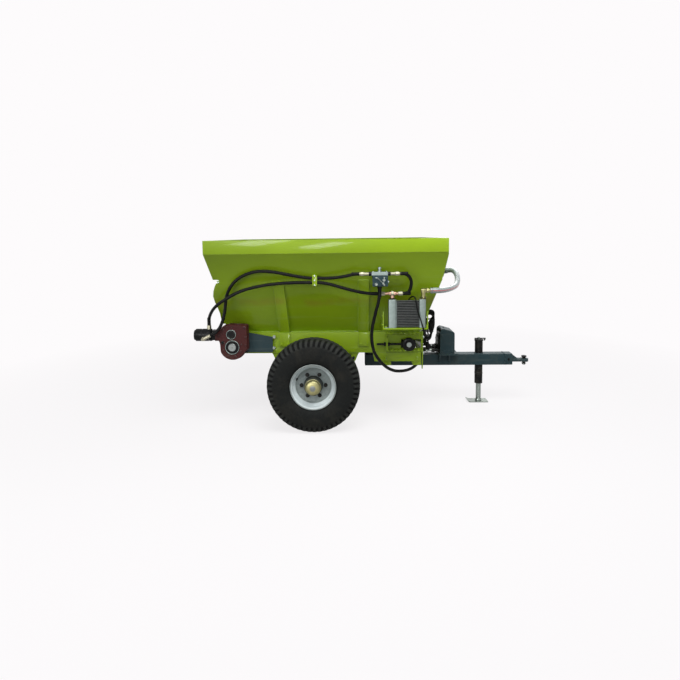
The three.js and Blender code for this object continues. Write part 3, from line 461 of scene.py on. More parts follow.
def around(centre, radius, turns, axis="Y"):
    """Places round a line through the centre: radius times cosine and sine of each turn."""
    cos, sin = radius * np.cos(turns), radius * np.sin(turns)
    none = 0 * cos
    offsets = {"X": (none, cos, sin), "Y": (cos, none, sin), "Z": (cos, sin, none)}[axis]
    return centre + np.stack(offsets, 1)


def ball(centre, radius, sides=12):
    """A ball: radius times the cosine of the height's angle, turned round."""
    lift = np.linspace(-0.97, 0.97, 7) * math.pi / 2
    return lathe(np.stack([radius * np.cos(lift), radius * np.sin(lift)], 1), centre, segments=sides)


def hex_head(across, height):
    """A washer and a six-sided head with its corners taken off."""
    corner = across / math.sqrt(3)
    washer = lathe([(corner * 1.15, 0), (corner * 1.15, height * 0.16)], segments=14)
    head = lathe([(corner, height * 0.16), (corner, height * 0.82), (corner * 0.84, height)],
                 segments=6)
    return washer + head


def nut_and_stud(across, height):
    """A hex head with the end of its stud standing out by a third."""
    stud = lathe([(across * 0.27, height * 0.9), (across * 0.27, height * 1.3),
                  (across * 0.2, height * 1.4)], segments=10)
    return hex_head(across, height) + stud


def dome_head(radius, height):
    """A round head: a quarter ellipse turned round."""
    lift = np.linspace(0, 0.94, 5) * math.pi / 2
    return lathe(np.stack([radius * np.cos(lift), height * np.sin(lift)], 1), segments=12)


def bead(points, radius, pitch=0.014):
    """A weld bead: a round section along a line, whose radius swells and shrinks once a pitch."""
    path = even(np.asarray(points, float), pitch / 3)
    wave = 1 + 0.22 * np.cos(np.arange(len(path)) * TAU / 3)
    up = (0, 1, 0.3) if abs(unit(path[-1] - path[0])[2]) > 0.6 else (0, 0, 1)
    return sweep(path, circle(radius, 6)[None] * wave[:, None, None], up)


# ---------------- finishes
class Graph:
    """The nodes of a material or of the world: each call adds one, links or sets its sockets
    and gives an output."""

    def __init__(self, owner):
        owner.use_nodes = True
        self.tree = owner.node_tree
        self.tree.nodes.clear()

    def add(self, kind, sockets=(), output=0, **settings):
        """One node; sockets go by name or number and hold a value or another node's output."""
        node = self.tree.nodes.new("ShaderNode" + kind)
        for key, value in settings.items():
            setattr(node, key, value)
        for key, value in dict(sockets).items():
            if isinstance(value, bpy.types.NodeSocket):
                self.tree.links.new(value, node.inputs[key])
            elif hasattr(value, "__len__") and node.inputs[key].type == "RGBA":
                node.inputs[key].default_value = (*value[:3], 1)
            else:
                node.inputs[key].default_value = value
        return node.outputs[output] if node.outputs else None

    def place(self, scale=(1, 1, 1)):
        """Object coordinates, stretched along the axes."""
        own = self.add("TexCoord", output="Object")
        return self.add("Mapping", {"Vector": own, "Scale": scale})

    def noise(self, vector, scale, detail=3.0, rough=0.55, twist=0.0):
        """Cloudy noise from 0 to 1."""
        return self.add("TexNoise", {"Vector": vector, "Scale": scale, "Detail": detail,
                                     "Roughness": rough, "Distortion": twist})

    def span(self, value, low, high, new_low=0.0, new_high=1.0):
        """The value's part between low and high, spread from new_low to new_high."""
        return self.add("MapRange", {"Value": value, "From Min": low, "From Max": high,
                                     "To Min": new_low, "To Max": new_high})

    def math(self, operation, a, b=0.0):
        """One sum on two values."""
        return self.add("Math", {0: a, 1: b}, operation=operation)

    def mix(self, part, a, b):
        """Colour a turning into b."""
        return self.add("Mix", {0: part, 6: a, 7: b}, 2, data_type="RGBA")

    def edge(self, radius):
        """1 along sharp edges and 0 elsewhere: how far the rounded normal leans from the true one."""
        soft = self.add("Bevel", {"Radius": radius}, samples=4)
        true = self.add("NewGeometry", output="Normal")
        lean = self.add("VectorMath", {0: soft, 1: true}, "Value", operation="DOT_PRODUCT")
        return self.span(lean, 0.985, 0.93)

    def bump(self, height, distance, strength=1.0, normal=None):
        """A normal raised by a height."""
        sockets = {"Height": height, "Distance": distance, "Strength": strength}
        if normal is not None:
            sockets["Normal"] = normal
        return self.add("Bump", sockets)

    def close(self, colour_out, rough, normal, **constants):
        """The shader, with what is the same all over set on its own sockets."""
        sockets = {"Base Color": colour_out, "Roughness": rough, "Normal": normal}
        sockets.update({key.replace("_", " "): value for key, value in constants.items()})
        shader = self.add("BsdfPrincipled", sockets)
        self.add("OutputMaterial", {"Surface": shader})


def toned(tint, factor):
    """A colour made lighter or darker."""
    return tuple(min(1.0, part * factor) for part in tint)


def toward(tint, other, part):
    """A colour moved part of the way to another."""
    return tuple(a + (b - a) * part for a, b in zip(tint, other))


def enamel(g, tint, gloss=0.3, wave=0.004, cast=0.0, wear=0.25, wipe=0.1, coat=0.2, shade=None,
           sheen=0.3):
    """Sprayed enamel: clouded tint, long wiped streaks in its gloss whose paler streaks in the
    colour are partly wipe marks and partly painted reflection, thin dust low down, worn edges,
    a slightly wavy sheet and orange peel; cast adds the grain of a casting; shade takes the
    graph, the place and the colour and gives a colour with painted light in it; sheen is the
    plain reflection."""
    place = g.place()
    cloud = g.noise(place, 1.7, 4)
    streak = g.noise(g.place((0.9, 0.9, 8)), 2.4, 3, 0.5, 0.3)
    base = g.mix(g.span(cloud, 0.3, 0.7), toned(tint, 0.9), toned(tint, 1.08))
    # Paler streaks in the colour: partly wipe marks, partly painted reflection.
    base = g.mix(g.span(streak, 0.6, 0.85, 0, wipe), base, toward(tint, (0.8, 0.85, 0.7), 0.55))
    # Painted light from shade: the painted reflection band or the wheel's painted shade.
    if shade:
        base = shade(g, place, base)
    height = g.add("SeparateXYZ", {"Vector": place}, "Z")
    low = g.span(height, 1.0, 0.35)
    film = g.math("MULTIPLY", low, g.span(g.noise(place, 9, 6, 0.65), 0.42, 0.72, 0, 0.22))
    base = g.mix(film, base, toned(colours().dust, 0.9))
    worn = g.math("MULTIPLY", g.edge(0.004), g.span(g.noise(place, 38, 4, 0.6), 0.4, 0.62, 0, wear))
    base = g.mix(worn, base, toward(tint, (0.85, 0.86, 0.84), 0.6))
    rough = g.math("ADD", g.span(streak, 0.3, 0.75, gloss, gloss + 0.16),
                   g.math("MULTIPLY", film, 0.9))
    peel = g.bump(g.noise(place, 420, 1), 0.00004)
    normal = g.bump(g.noise(g.place((1, 1, 1.8)), 2.1, 1.5), wave, 0.8, peel)
    if cast:
        normal = g.bump(g.noise(place, 150, 3, 0.7), cast, 0.9, normal)
    g.close(base, rough, normal, Specular_IOR_Level=sheen, Coat_Weight=coat, Coat_Roughness=0.08)


def rubber(g, tint, grain, dusty, rough, dust_scale, along=False, sunk=False):
    """Rubber: fine grain, scuffs and patches of dry dust. along reads the hose's own lay, so
    that its wrapped cover turns round it; sunk reads from it how deep the tread is, and paints
    shade into the grooves and a highlight onto the raised lugs."""
    place = g.place()
    patch = g.noise(place, dust_scale, 6, 0.68, 0.4)
    scuff = g.noise(place, 55, 3, 0.6)
    base = g.mix(g.span(scuff, 0.35, 0.7), toned(tint, 0.75), toned(tint, 1.3))
    dust = g.span(patch, 0.46, 0.8, 0, dusty)
    base = g.mix(dust, base, colours().dust)
    normal = g.bump(g.noise(place, grain, 2), 0.0003, 0.7)
    lay = g.add("Attribute", output="Vector", attribute_name="lay")
    if sunk:
        part = g.add("SeparateXYZ", {"Vector": lay}, "X")
        lugs = g.add("SeparateXYZ", {"Vector": lay}, "Y")
        # Painted highlight on the raised lugs, painted shade in the grooves.
        raised = g.math("MULTIPLY", lugs, g.span(part, 0.3, 0.05, 0, 0.5))
        base = g.mix(raised, base, LUG_HIGHLIGHT)
        base = g.mix(part, base, GROOVE_SHADE)
    if along:
        wrap = g.add("TexWave", {"Vector": lay, "Scale": 62.0, "Distortion": 0.6, "Detail": 1.0},
                     "Fac", bands_direction="Z")
        normal = g.bump(wrap, 0.0005, 0.6, normal)
    gloss = g.math("ADD", g.span(scuff, 0.3, 0.75, rough, rough + 0.16),
                   g.math("MULTIPLY", dust, 0.3))
    g.close(base, gloss, normal, Specular_IOR_Level=0.1)


def metal(g, tint, rough=0.3, stain=0.3, brushed=(1, 1, 14), metallic=1.0, scale=30.0):
    """Bare or plated metal: brushed scratches, clouded plating and a few dull stains."""
    place = g.place()
    line = g.noise(g.place(brushed), 90, 2, 0.6)
    cloud = g.noise(place, scale, 4, 0.6)
    base = g.mix(g.span(cloud, 0.35, 0.7), toned(tint, 0.86), toned(tint, 1.06))
    base = g.mix(g.span(g.noise(place, scale * 0.6, 5, 0.7), 0.56, 0.8, 0, stain), base,
                 toned(tint, 0.4))
    gloss = g.span(line, 0.25, 0.8, rough, rough + 0.18)
    normal = g.bump(line, 0.00008, 0.6)
    g.close(base, gloss, normal, Metallic=metallic)


def clear_tube(g, tint):
    """Clear plastic over a steel spiral: the spiral's bright turns and the dark oil between
    them, with one red line along the hose."""
    lay = g.add("Attribute", output="Vector", attribute_name="lay")
    part = g.add("SeparateXYZ", {"Vector": lay}, "X")
    turn = g.add("TexWave", {"Vector": lay, "Scale": 26.0, "Distortion": 0.15}, "Fac",
                 bands_direction="Z", wave_profile="SAW")
    wire = g.span(turn, 0.62, 0.8)
    murk = g.noise(g.place(), 24, 4)
    base = g.mix(g.span(murk, 0.3, 0.7), toned(tint, 0.62), toned(tint, 0.92))
    base = g.mix(g.math("MULTIPLY", wire, 0.55), base, toned(tint, 1.35))
    line = g.span(part, 0.96, 0.985, 0, 0.75)
    base = g.mix(line, base, (0.62, 0.05, 0.06))
    normal = g.bump(wire, 0.0009, 0.6)
    rough = g.span(murk, 0.3, 0.7, 0.12, 0.24)
    g.close(base, rough, normal, Coat_Weight=0.6, Coat_Roughness=0.05)


# Painted highlight on the tyre's raised lugs and painted shade in its grooves.
LUG_HIGHLIGHT, GROOVE_SHADE = (0.04, 0.043, 0.039), (0.0012, 0.0015, 0.0013)
# Height and tint of the painted reflection band on the green paint.
REFLECTION_BAND_HEIGHT, REFLECTION_BAND_TINT = 1.165, (0.3, 0.29, 0.02)
# Where the wheel's painted shade changes between ring, disc and hub, in metres from the axle's line.
RING_FADE, DISC_FADE, HUB_FADE = (0.196, 0.202), (0.168, 0.163), (0.09, 0.084)


def reflection_band(g, place, base):
    """Painted reflection across the hopper's sides: a yellowish band at one height, bent by slow noise,
    that stands for the ground seen in the paint.
    """
    height = g.add("SeparateXYZ", {"Vector": place}, "Z")
    height = g.math("ADD", height, g.span(g.noise(place, 1.3, 2), 0.3, 0.7, -0.05, 0.05))
    off = g.math("ABSOLUTE", g.math("SUBTRACT", height, REFLECTION_BAND_HEIGHT))
    patches = g.span(g.noise(place, 5, 3), 0.35, 0.6)
    # Painted reflection: the band's yellowish tint mixed in, in patches.
    return g.mix(g.math("MULTIPLY", g.span(off, 0.06, 0.015, 0, 0.6), patches), base, REFLECTION_BAND_TINT)


def wheel_shade(g, place, base):
    """The wheel's disc and hub, inside the rim's ring, with painted shade: beyond the ring's fade
    the rim's outer flange turns a dull grey; within the disc's fade the colour falls to a grey
    flecked with real dirt, its darkness painted shade; within the hub's fade it falls to near
    black, painted shade on the hub."""
    flat = g.add("VectorMath", {0: place, 1: (AXLE_X, 0, AXLE_Z)}, operation="SUBTRACT")
    flat = g.add("VectorMath", {0: flat, 1: (1, 0, 1)}, operation="MULTIPLY")
    away = g.add("VectorMath", {0: flat}, "Value", operation="LENGTH")
    dirt = g.span(g.noise(place, 45, 4, 0.7), 0.45, 0.75, 0, 0.45)
    # A grey darkened as painted shade, flecked with real dirt.
    grime_and_shade = g.mix(dirt, (0.32, 0.37, 0.36), (0.05, 0.06, 0.06))
    # Painted shade on the hub: near black.
    inside = g.mix(g.span(away, *HUB_FADE), grime_and_shade, (0.022, 0.028, 0.024))
    # Painted shade on the rim's outer flange: a dull grey.
    base = g.mix(g.span(away, *RING_FADE), base, (0.3, 0.34, 0.33))
    return g.mix(g.span(away, *DISC_FADE), base, inside)


# How each finish is made, and what differs from that maker's own settings.
FINISHES = {
    "green_paint": (enamel, {"shade": reflection_band, "sheen": 0.1}),
    "slate_paint": (enamel, {"gloss": 0.36, "wave": 0.002, "wear": 0.2, "coat": 0.06, "sheen": 0.1}),
    "black_paint": (enamel, {"gloss": 0.34, "wave": 0.0, "wear": 0.15, "wipe": 0.06, "coat": 0.05,
                             "sheen": 0.08}),
    "red_paint": (enamel, {"gloss": 0.34, "wave": 0.0, "cast": 0.0011, "wear": 0.3, "wipe": 0.12,
                           "coat": 0.06, "sheen": 0.1}),
    "wheel_silver": (enamel, {"wave": 0.0, "wear": 0.0, "wipe": 0.05, "coat": 0.1, "shade": wheel_shade}),
    "tyre_rubber": (rubber, {"grain": 220, "dusty": 0.1, "rough": 0.6, "dust_scale": 6.0,
                             "sunk": True}),
    "belt_rubber": (rubber, {"grain": 150, "dusty": 0.1, "rough": 0.7, "dust_scale": 4.0}),
    "hose_rubber": (rubber, {"grain": 300, "dusty": 0.04, "rough": 0.36, "dust_scale": 12.0,
                             "along": True}),
    "clear_hose": (clear_tube, {}),
    "bare_steel": (metal, {"stain": 0.35}),
    "zinc_plate": (metal, {"rough": 0.26, "stain": 0.12}),
    "brass_fitting": (metal, {"rough": 0.36, "brushed": (1, 1, 4)}),
    "copper_fitting": (metal, {"rough": 0.34, "brushed": (1, 1, 4)}),
    "pale_fitting": (metal, {"rough": 0.38}),
    "bare_aluminium": (metal, {"rough": 0.38, "stain": 0.1, "brushed": (1, 1, 9), "metallic": 0.85}),
}


def finish(name):
    """The material of a finish, made the first time that it is asked for."""
    made = bpy.data.materials.get(name + "_finish")
    if not made:
        maker, settings = FINISHES[name]
        made = bpy.data.materials.new(name + "_finish")
        maker(Graph(made), tuple(getattr(colours(), name)), **settings)
    return made


# ---------------- pieces
def finished(name, mesh, coat, body="chassis", replaces=(), edge=0.0, steps=2):
    """A piece from its mesh: its finish, rounded edges, the body that it rides on and the CAD
    nodes that it stands for."""
    mesh.materials.clear()
    mesh.materials.append(finish(coat))
    piece = bpy.data.objects.new(name, mesh)
    bpy.context.scene.collection.objects.link(piece)
    if edge:
        bevel = piece.modifiers.new("edge", "BEVEL")
        bevel.width = edge
        bevel.segments = steps
        bevel.limit_method = "ANGLE"
        bevel.angle_limit = math.radians(32)
        bevel.harden_normals = True
    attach(piece, body)
    if replaces:
        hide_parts(*replaces)
    return piece


def tidied(mesh, flat=False):
    """Doubled points merged and faces turned outwards; flat also melts the triangles of each
    plane into one face."""
    work = bmesh.new()
    work.from_mesh(mesh)
    bmesh.ops.remove_doubles(work, verts=work.verts, dist=2e-6)
    if flat:
        bmesh.ops.dissolve_limit(work, angle_limit=math.radians(0.6), verts=work.verts,
                                 edges=work.edges)
    bmesh.ops.recalc_face_normals(work, faces=work.faces)
    work.to_mesh(mesh)
    work.free()


def make(name, shape, coat, body="chassis", replaces=(), edge=0.0, steps=2, crease=38, lay=None):
    """A piece from a shape. Edges sharper than crease degrees stay crisp; lay is an attribute
    with each point's place on a hose."""
    mesh = bpy.data.meshes.new(name)
    mesh.vertices.add(len(shape.points))
    mesh.vertices.foreach_set("co", shape.points.astype(np.float32).ravel())
    mesh.loops.add(len(shape.corners))
    mesh.loops.foreach_set("vertex_index", shape.corners.astype(np.int32))
    mesh.polygons.add(len(shape.counts))
    mesh.polygons.foreach_set("loop_start",
                              (np.cumsum(shape.counts) - shape.counts).astype(np.int32))
    mesh.update(calc_edges=True)
    if lay is not None:
        stored = mesh.attributes.new("lay", "FLOAT_VECTOR", "POINT")
        stored.data.foreach_set("vector", lay.astype(np.float32).ravel())
    tidied(mesh)
    mesh.polygons.foreach_set("use_smooth", np.ones(len(mesh.polygons), bool))
    if not edge:
        mesh.set_sharp_from_angle(angle=math.radians(crease))
    return finished(name, mesh, coat, body, replaces, edge, steps)


def softened(node, coat, body="chassis", edge=None, steps=2):
    """A CAD node's own form with rounded edges: a merged copy whose planes are single faces."""
    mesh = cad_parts[node].data.copy()
    mesh.name = node + "_finished"
    tidied(mesh, flat=True)
    mesh.polygons.foreach_set("use_smooth", np.ones(len(mesh.polygons), bool))
    return finished(node + "_finished", mesh, coat, body, (node,), edge or sizes().sheet_edge, steps)


def both(shape):
    """A right side's shape and its twin on the left."""
    return shape + shape.mirrored()


def turned(across, over, back, place):
    """A matrix that turns X, Y and Z to three directions and moves to a place."""
    matrix = np.eye(4)
    matrix[:3] = np.stack([across, over, back, place], 1)
    return Matrix(matrix.tolist())


# ---------------- camera
SENSOR = 36  # width of the camera's sensor in millimetres


class SPREADER_OT_camera(bpy.types.Operator):
    """Camera at the right side, a little towards the front and above the rim."""

    bl_idname = "spreader.camera"
    bl_label = "Camera"

    def execute(self, context):
        scene = context.scene
        stage = scene.spreader_stage
        cos_p, sin_p = math.cos(stage.pitch), math.sin(stage.pitch)
        ahead = np.array([-math.sin(stage.yaw) * cos_p, math.cos(stage.yaw) * cos_p, -sin_p])
        level = np.array([math.cos(stage.yaw), math.sin(stage.yaw), 0])
        upright = np.cross(level, ahead)
        cos_r, sin_r = math.cos(stage.roll), math.sin(stage.roll)
        across, over = cos_r * level + sin_r * upright, cos_r * upright - sin_r * level
        camera = bpy.data.objects.new("camera", bpy.data.cameras.new("camera"))
        place = (stage.camera_x, stage.camera_y, stage.camera_z)
        camera.matrix_world = turned(across, over, -ahead, place)
        camera.data.lens, camera.data.sensor_width = stage.lens, SENSOR
        camera.data.shift_x, camera.data.shift_y = stage.shift_x, stage.shift_y
        scene.collection.objects.link(camera)
        scene.camera = camera
        return {"FINISHED"}


# ---------------- hoses and lead
# Each route starts and ends with three points in line with the fitting that it meets.
ROUTES = {
    "hose_valve_to_motor": [
        (-0.1113, -0.815, 1.447), (-0.126, -0.815, 1.447), (-0.141, -0.815, 1.447),
        (-0.181, -0.812, 1.44), (-0.241, -0.805, 1.427), (-0.326, -0.793, 1.414),
        (-0.416, -0.78, 1.409), (-0.496, -0.775, 1.41), (-0.546, -0.775, 1.41),
        (-0.611, -0.778, 1.416), (-0.701, -0.786, 1.432), (-0.791, -0.793, 1.451),
        (-0.886, -0.798, 1.47), (-0.986, -0.799, 1.48), (-1.081, -0.795, 1.473),
        (-1.176, -0.782, 1.442), (-1.253, -0.765, 1.394), (-1.311, -0.745, 1.33),
        (-1.346, -0.725, 1.265), (-1.366, -0.71, 1.198), (-1.376, -0.702, 1.13),
        (-1.389, -0.698, 1.062), (-1.409, -0.695, 0.998), (-1.436, -0.694, 0.942),
        (-1.469, -0.694, 0.903), (-1.4994, -0.694, 0.8819), (-1.5127, -0.694, 0.8751),
        (-1.5257, -0.694, 0.8682)],
    "hose_motor_to_tee": [
        (0.0707, -0.745, 1.258), (0.056, -0.745, 1.258), (0.041, -0.745, 1.258),
        (-0.021, -0.75, 1.261), (-0.106, -0.76, 1.276), (-0.196, -0.768, 1.298),
        (-0.291, -0.774, 1.326), (-0.381, -0.776, 1.352), (-0.456, -0.775, 1.366),
        (-0.496, -0.775, 1.37), (-0.546, -0.775, 1.37), (-0.611, -0.775, 1.371),
        (-0.706, -0.774, 1.37), (-0.841, -0.774, 1.364), (-0.976, -0.774, 1.35),
        (-1.126, -0.774, 1.32), (-1.221, -0.772, 1.29), (-1.301, -0.77, 1.252),
        (-1.361, -0.768, 1.216), (-1.429, -0.752, 1.172), (-1.481, -0.718, 1.126),
        (-1.519, -0.675, 1.08), (-1.546, -0.63, 1.038), (-1.559, -0.603, 1.004),
        (-1.563, -0.595, 0.98), (-1.563, -0.595, 0.965), (-1.563, -0.595, 0.9503)],
    "hose_valve_loop": [
        (0.2593, -0.815, 1.447), (0.271, -0.815, 1.447), (0.283, -0.815, 1.447),
        (0.319, -0.812, 1.438), (0.349, -0.803, 1.41), (0.364, -0.788, 1.37),
        (0.363, -0.772, 1.325), (0.351, -0.757, 1.285), (0.329, -0.748, 1.264),
        (0.315, -0.745, 1.258), (0.303, -0.745, 1.258), (0.2913, -0.745, 1.258)],
    "hose_pump_to_valve": [
        (0.074, -0.807, 1.3057), (0.074, -0.807, 1.291), (0.074, -0.807, 1.276),
        (0.07, -0.802, 1.228), (0.059, -0.79, 1.165), (0.041, -0.774, 1.098),
        (0.024, -0.755, 1.02), (0.009, -0.738, 0.945), (0.002, -0.722, 0.865),
        (0.007, -0.706, 0.785), (0.024, -0.69, 0.705), (0.059, -0.668, 0.635),
        (0.104, -0.642, 0.575), (0.159, -0.608, 0.522), (0.224, -0.565, 0.484),
        (0.284, -0.515, 0.466), (0.347, -0.46, 0.458), (0.404, -0.395, 0.458),
        (0.453, -0.322, 0.466), (0.49, -0.252, 0.48), (0.514, -0.19, 0.5),
        (0.529, -0.138, 0.525), (0.54, -0.101, 0.55), (0.553, -0.078, 0.569),
        (0.569, -0.07, 0.575), (0.584, -0.07, 0.575), (0.5987, -0.07, 0.575)],
    "hose_cooler_to_tank": [
        (0.7973, -0.0952, 1.4161), (0.8083, -0.1049, 1.4201), (0.8195, -0.1148, 1.4241),
        (0.853, -0.15, 1.428), (0.875, -0.21, 1.414), (0.881, -0.29, 1.38), (0.867, -0.38, 1.34),
        (0.835, -0.47, 1.304), (0.781, -0.56, 1.288), (0.721, -0.64, 1.281), (0.664, -0.7, 1.28),
        (0.619, -0.73, 1.281), (0.571, -0.7375, 1.282), (0.558, -0.7375, 1.282),
        (0.5453, -0.7375, 1.282)],
    "hose_tank_to_pump": [
        (0.594, 0, 0.9847), (0.594, 0, 0.965), (0.594, 0, 0.945), (0.594, 0, 0.86),
        (0.594, 0, 0.76), (0.594, 0, 0.69), (0.6, 0, 0.649), (0.617, 0, 0.622),
        (0.642, 0, 0.606), (0.666, 0, 0.6), (0.675, 0, 0.6), (0.6847, 0, 0.6)]}
# A direction that the hose is never in line with, so that its section keeps its turn.
SQUARE_TO = {"hose_pump_to_valve": (0, 1, -1), "hose_cooler_to_tank": (0, 0, 1)}
LEAD_ROUTE = [
    (0.344, -0.661, 1.1303), (0.344, -0.661, 1.142), (0.344, -0.661, 1.154),
    (0.355, -0.672, 1.19), (0.373, -0.703, 1.217), (0.391, -0.746, 1.228), (0.404, -0.782, 1.21),
    (0.411, -0.794, 1.168), (0.42, -0.794, 1.115), (0.435, -0.792, 1.06), (0.453, -0.79, 1.005),
    (0.47, -0.789, 0.95), (0.486, -0.786, 0.905), (0.505, -0.768, 0.873), (0.527, -0.728, 0.857),
    (0.541, -0.672, 0.852), (0.547, -0.612, 0.85), (0.549, -0.56, 0.853),
    (0.549, -0.52, 0.859), (0.548, -0.478, 0.877), (0.545, -0.4615, 0.92)]
HOSE_STEP = 0.012  # between the stations of a hose
BANDED_FROM = 0.04  # hoses of this diameter or more have band clamps, the others pressed ends


def laid(path, radius, up, sides=16):
    """A round hose along its path, with its lay: cosine and sine of the turn, then the run."""
    run = run_of(path)
    lay = np.column_stack([np.tile(circle(1, sides), (len(path), 1)), np.repeat(run, sides)])
    return sweep(path, circle(radius, sides), up), lay, run[-1]


def swaged(start, along, radius):
    """A hose end over its first 75 mm: union nut, then a pressed sleeve with shallow rings."""
    step = np.arange(16)
    wide = np.where(step // 2 % 2 == 0, radius * 1.14, radius * 1.07)
    sleeve = lathe(np.vstack([[(radius * 0.9, 0.018)], np.column_stack([wide, 0.021 + 0.003 * step]),
                              [(radius * 1.03, 0.072)]]), start, along, 20)
    nut = lathe([(radius * 1.0, 0.001), (radius * 1.2, 0.004), (radius * 1.2, 0.017),
                 (radius * 1.0, 0.02)], start, along, 6)
    return sleeve + nut


class SPREADER_OT_hoses(bpy.types.Operator):
    """Hoses of the oil circuit, each with pressed ends or, when wide, band clamps."""

    bl_idname = "spreader.hoses"
    bl_label = "Hoses"

    def execute(self, context):
        for name, route in ROUTES.items():
            diameter = {"hose_cooler_to_tank": sizes().clear_hose,
                        "hose_tank_to_pump": sizes().suction_hose}.get(name, sizes().hose)
            up = SQUARE_TO.get(name, (0, 1, 0))
            path = smooth(route, HOSE_STEP)
            clear = name == "hose_cooler_to_tank"
            shape, lay, run = laid(path, diameter / 2, up, 20 if clear else 16)
            coat = "clear_hose" if clear else "hose_rubber"
            hose = make(name + "_cover", shape, coat, replaces=(name,), lay=lay)
            build, word, end_coat = ((clamp_band, "_clamps", "bare_steel") if diameter > BANDED_FROM
                                     else (swaged, "_ends", "hose_rubber"))
            points = np.array(route)
            tips = [(points[0], points[1] - points[0]), (points[-1], points[-2] - points[-1])]
            ends = sum(build(tip, along, diameter / 2) for tip, along in tips)
            sleeve = make(name + word, ends, end_coat)
        return {"FINISHED"}


def clamp_band(tip, along, radius):
    """A band clamp on the hose's first 30 mm: a raised band and the block of its screw."""
    along = unit(along)
    band = lathe([(radius * 0.98, 0.008), (radius + 0.002, 0.009), (radius + 0.002, 0.021),
                  (radius * 0.98, 0.022)], tip, along, 28)
    side, over, _ = basis(along)
    middle = tip + along * 0.015 + side * (radius + 0.004)
    screw = rod(middle - over * 0.013, middle + over * 0.013, 0.0055, 8, 0.001)
    return band + screw


HANK_RUN = 0.226  # straight part of each turn
HANK_LEAN = 0.028  # how much further forward the upper half circle lies than the lower one
HANK_MIDDLE = 0.9065  # height of the middle of the hank
# How far each run of the hank keeps from the middle at the ties, and how much each fold falls
# short of the hank's end, in metres.
WAIST = (0.9, 1.35, 0.5, 0.35, 1.0, 1.0, 0.3, 0.6, 0.75, 1.2, 0.4, 0.2, 1.1, 0.8, 0.6, 0.1)
SHORT = (0.0, 0.015, 0.04, 0.0, 0.03, 0.035, 0.012, 0.022, 0.045, 0.04, 0.024, 0.008, 0.035, 0.03,
         0.018, 0.0)
TIE_SPREAD = 0.06  # how far each tie lies from the hank's middle


def hank_line(turns, half, low, high, near, far, step=0.006):
    """Turns of lead round a flat oval, seen along Y: two straight runs joined by half circles,
    with Y growing evenly from near to far; it starts half way up the rear run, going up, and
    ends half way down the front run. Between the half circles each run bends to the middle,
    down to its share in WAIST, by the square of one less the square of the way from the hank's
    middle to the fold; each fold stops short by its SHORT, taken off evenly on the same way. At
    last all of it leans forward by HANK_LEAN."""
    middle, top, bottom = HANK.mid[0], high - half, low + half
    arc = np.linspace(0, math.pi, 24)
    upper = np.stack([middle - half * np.cos(arc), top + half * np.sin(arc)], 1)
    lower = np.stack([middle + half * np.cos(arc), bottom - half * np.sin(arc)], 1)
    rear = np.array([[middle - half, (top + bottom) / 2]])
    oval = np.vstack([rear, upper, lower, rear])
    run = run_of(oval)
    go = np.arange(0.06, (turns + 0.5) * run[-1], step)
    x, z = (np.interp(go % run[-1], run, axis) for axis in oval.T)
    up = z - (top + bottom) / 2
    way = np.clip(np.abs(up) / ((top - bottom) / 2), 0, 1)
    share = np.array(WAIST)[(2 * go / run[-1] + 0.5).astype(int)]
    short = np.array(SHORT)[(2 * go / run[-1]).astype(int)]
    x = middle + (x - middle) * (1 - (1 - share) * (1 - way**2) ** 2)
    z = z - np.sign(up) * short * way
    y = near + (far - near) * go / go[-1]
    return np.stack([x + lean(z), y, z], 1)


def lean(height):
    """How far forward of its own middle the hank lies at this height."""
    return HANK_LEAN / HANK_RUN * (height - HANK_MIDDLE)


class SPREADER_OT_fan_lead(bpy.types.Operator):
    """Lead of the cooler's fan: over the cooler, down its front tank, then its spare length in
    a tied hank with the plug hanging under it."""

    bl_idname = "spreader.fan_lead"
    bl_label = "Fan lead"

    def execute(self, context):
        lead = sizes().lead
        half, top = 3 * lead, HANK.high[2] - lead / 2
        plug_box = Span("fan_lead_plug")
        coils = hank_line(sizes().hank_turns, half, top - 2 * half - HANK_RUN, top,
                          HANK.low[1] + lead / 2, HANK.high[1] - lead / 2)
        plug_top = np.array([plug_box.mid[0], plug_box.mid[1], plug_box.high[2]])
        tail = plug_top + np.outer([0.12, 0.08, 0.045, 0.02, 0], [0, 0, 1])
        path = smooth(np.vstack([LEAD_ROUTE, coils[::3], tail]), lead / 2, 8)
        shape, lay, run = laid(path, lead / 2, (0.02, 1, 0.05), 10)
        cover = make("fan_lead_cover", shape, "hose_rubber", lay=lay,
                     replaces=("fan_lead", "fan_lead_hank"))
        radius = plug_box.size[0] / 2
        body = lathe([(radius * 0.42, -0.002), (radius * 0.5, 0.014), (radius * 0.94, 0.03),
                      (radius * 0.94, 0.058), (radius * 0.8, 0.06), (radius * 0.8, 0.082)],
                     plug_top, (0, 0, -1), 20)
        grips = lathe([(0.0028, 0), (0.0028, 0.026)], segments=6).copies(
            around(plug_top - [0, 0, 0.057], radius * 0.92, shares(12), "Z"))
        plug = make("fan_lead_plug_body", body + grips, "hose_rubber", replaces=("fan_lead_plug",),
                    edge=0.001)
        wide = 1.2 * half + lead / 2
        wrap = oblong(HANK.mid[0] - wide, HANK.mid[0] + wide, HANK.low[1] - 0.001,
                      HANK.high[1] + 0.001, 0.012)
        ties = sum(sweep(np.column_stack([wrap + [lean(z), 0], np.full(len(wrap), z)]),
                         strip(0.001, 0.004), loop=True)
                   for z in (HANK_MIDDLE + TIE_SPREAD, HANK_MIDDLE - TIE_SPREAD))
        ties = make("fan_lead_ties", ties, "black_paint")
        return {"FINISHED"}


# ---------------- hopper
POSTS = ((-0.299, -0.028), (0.472, 0.0))  # foot of each side post ahead of the axle, its lean
POST_HALF = 0.05
POST_TOP = 1.385


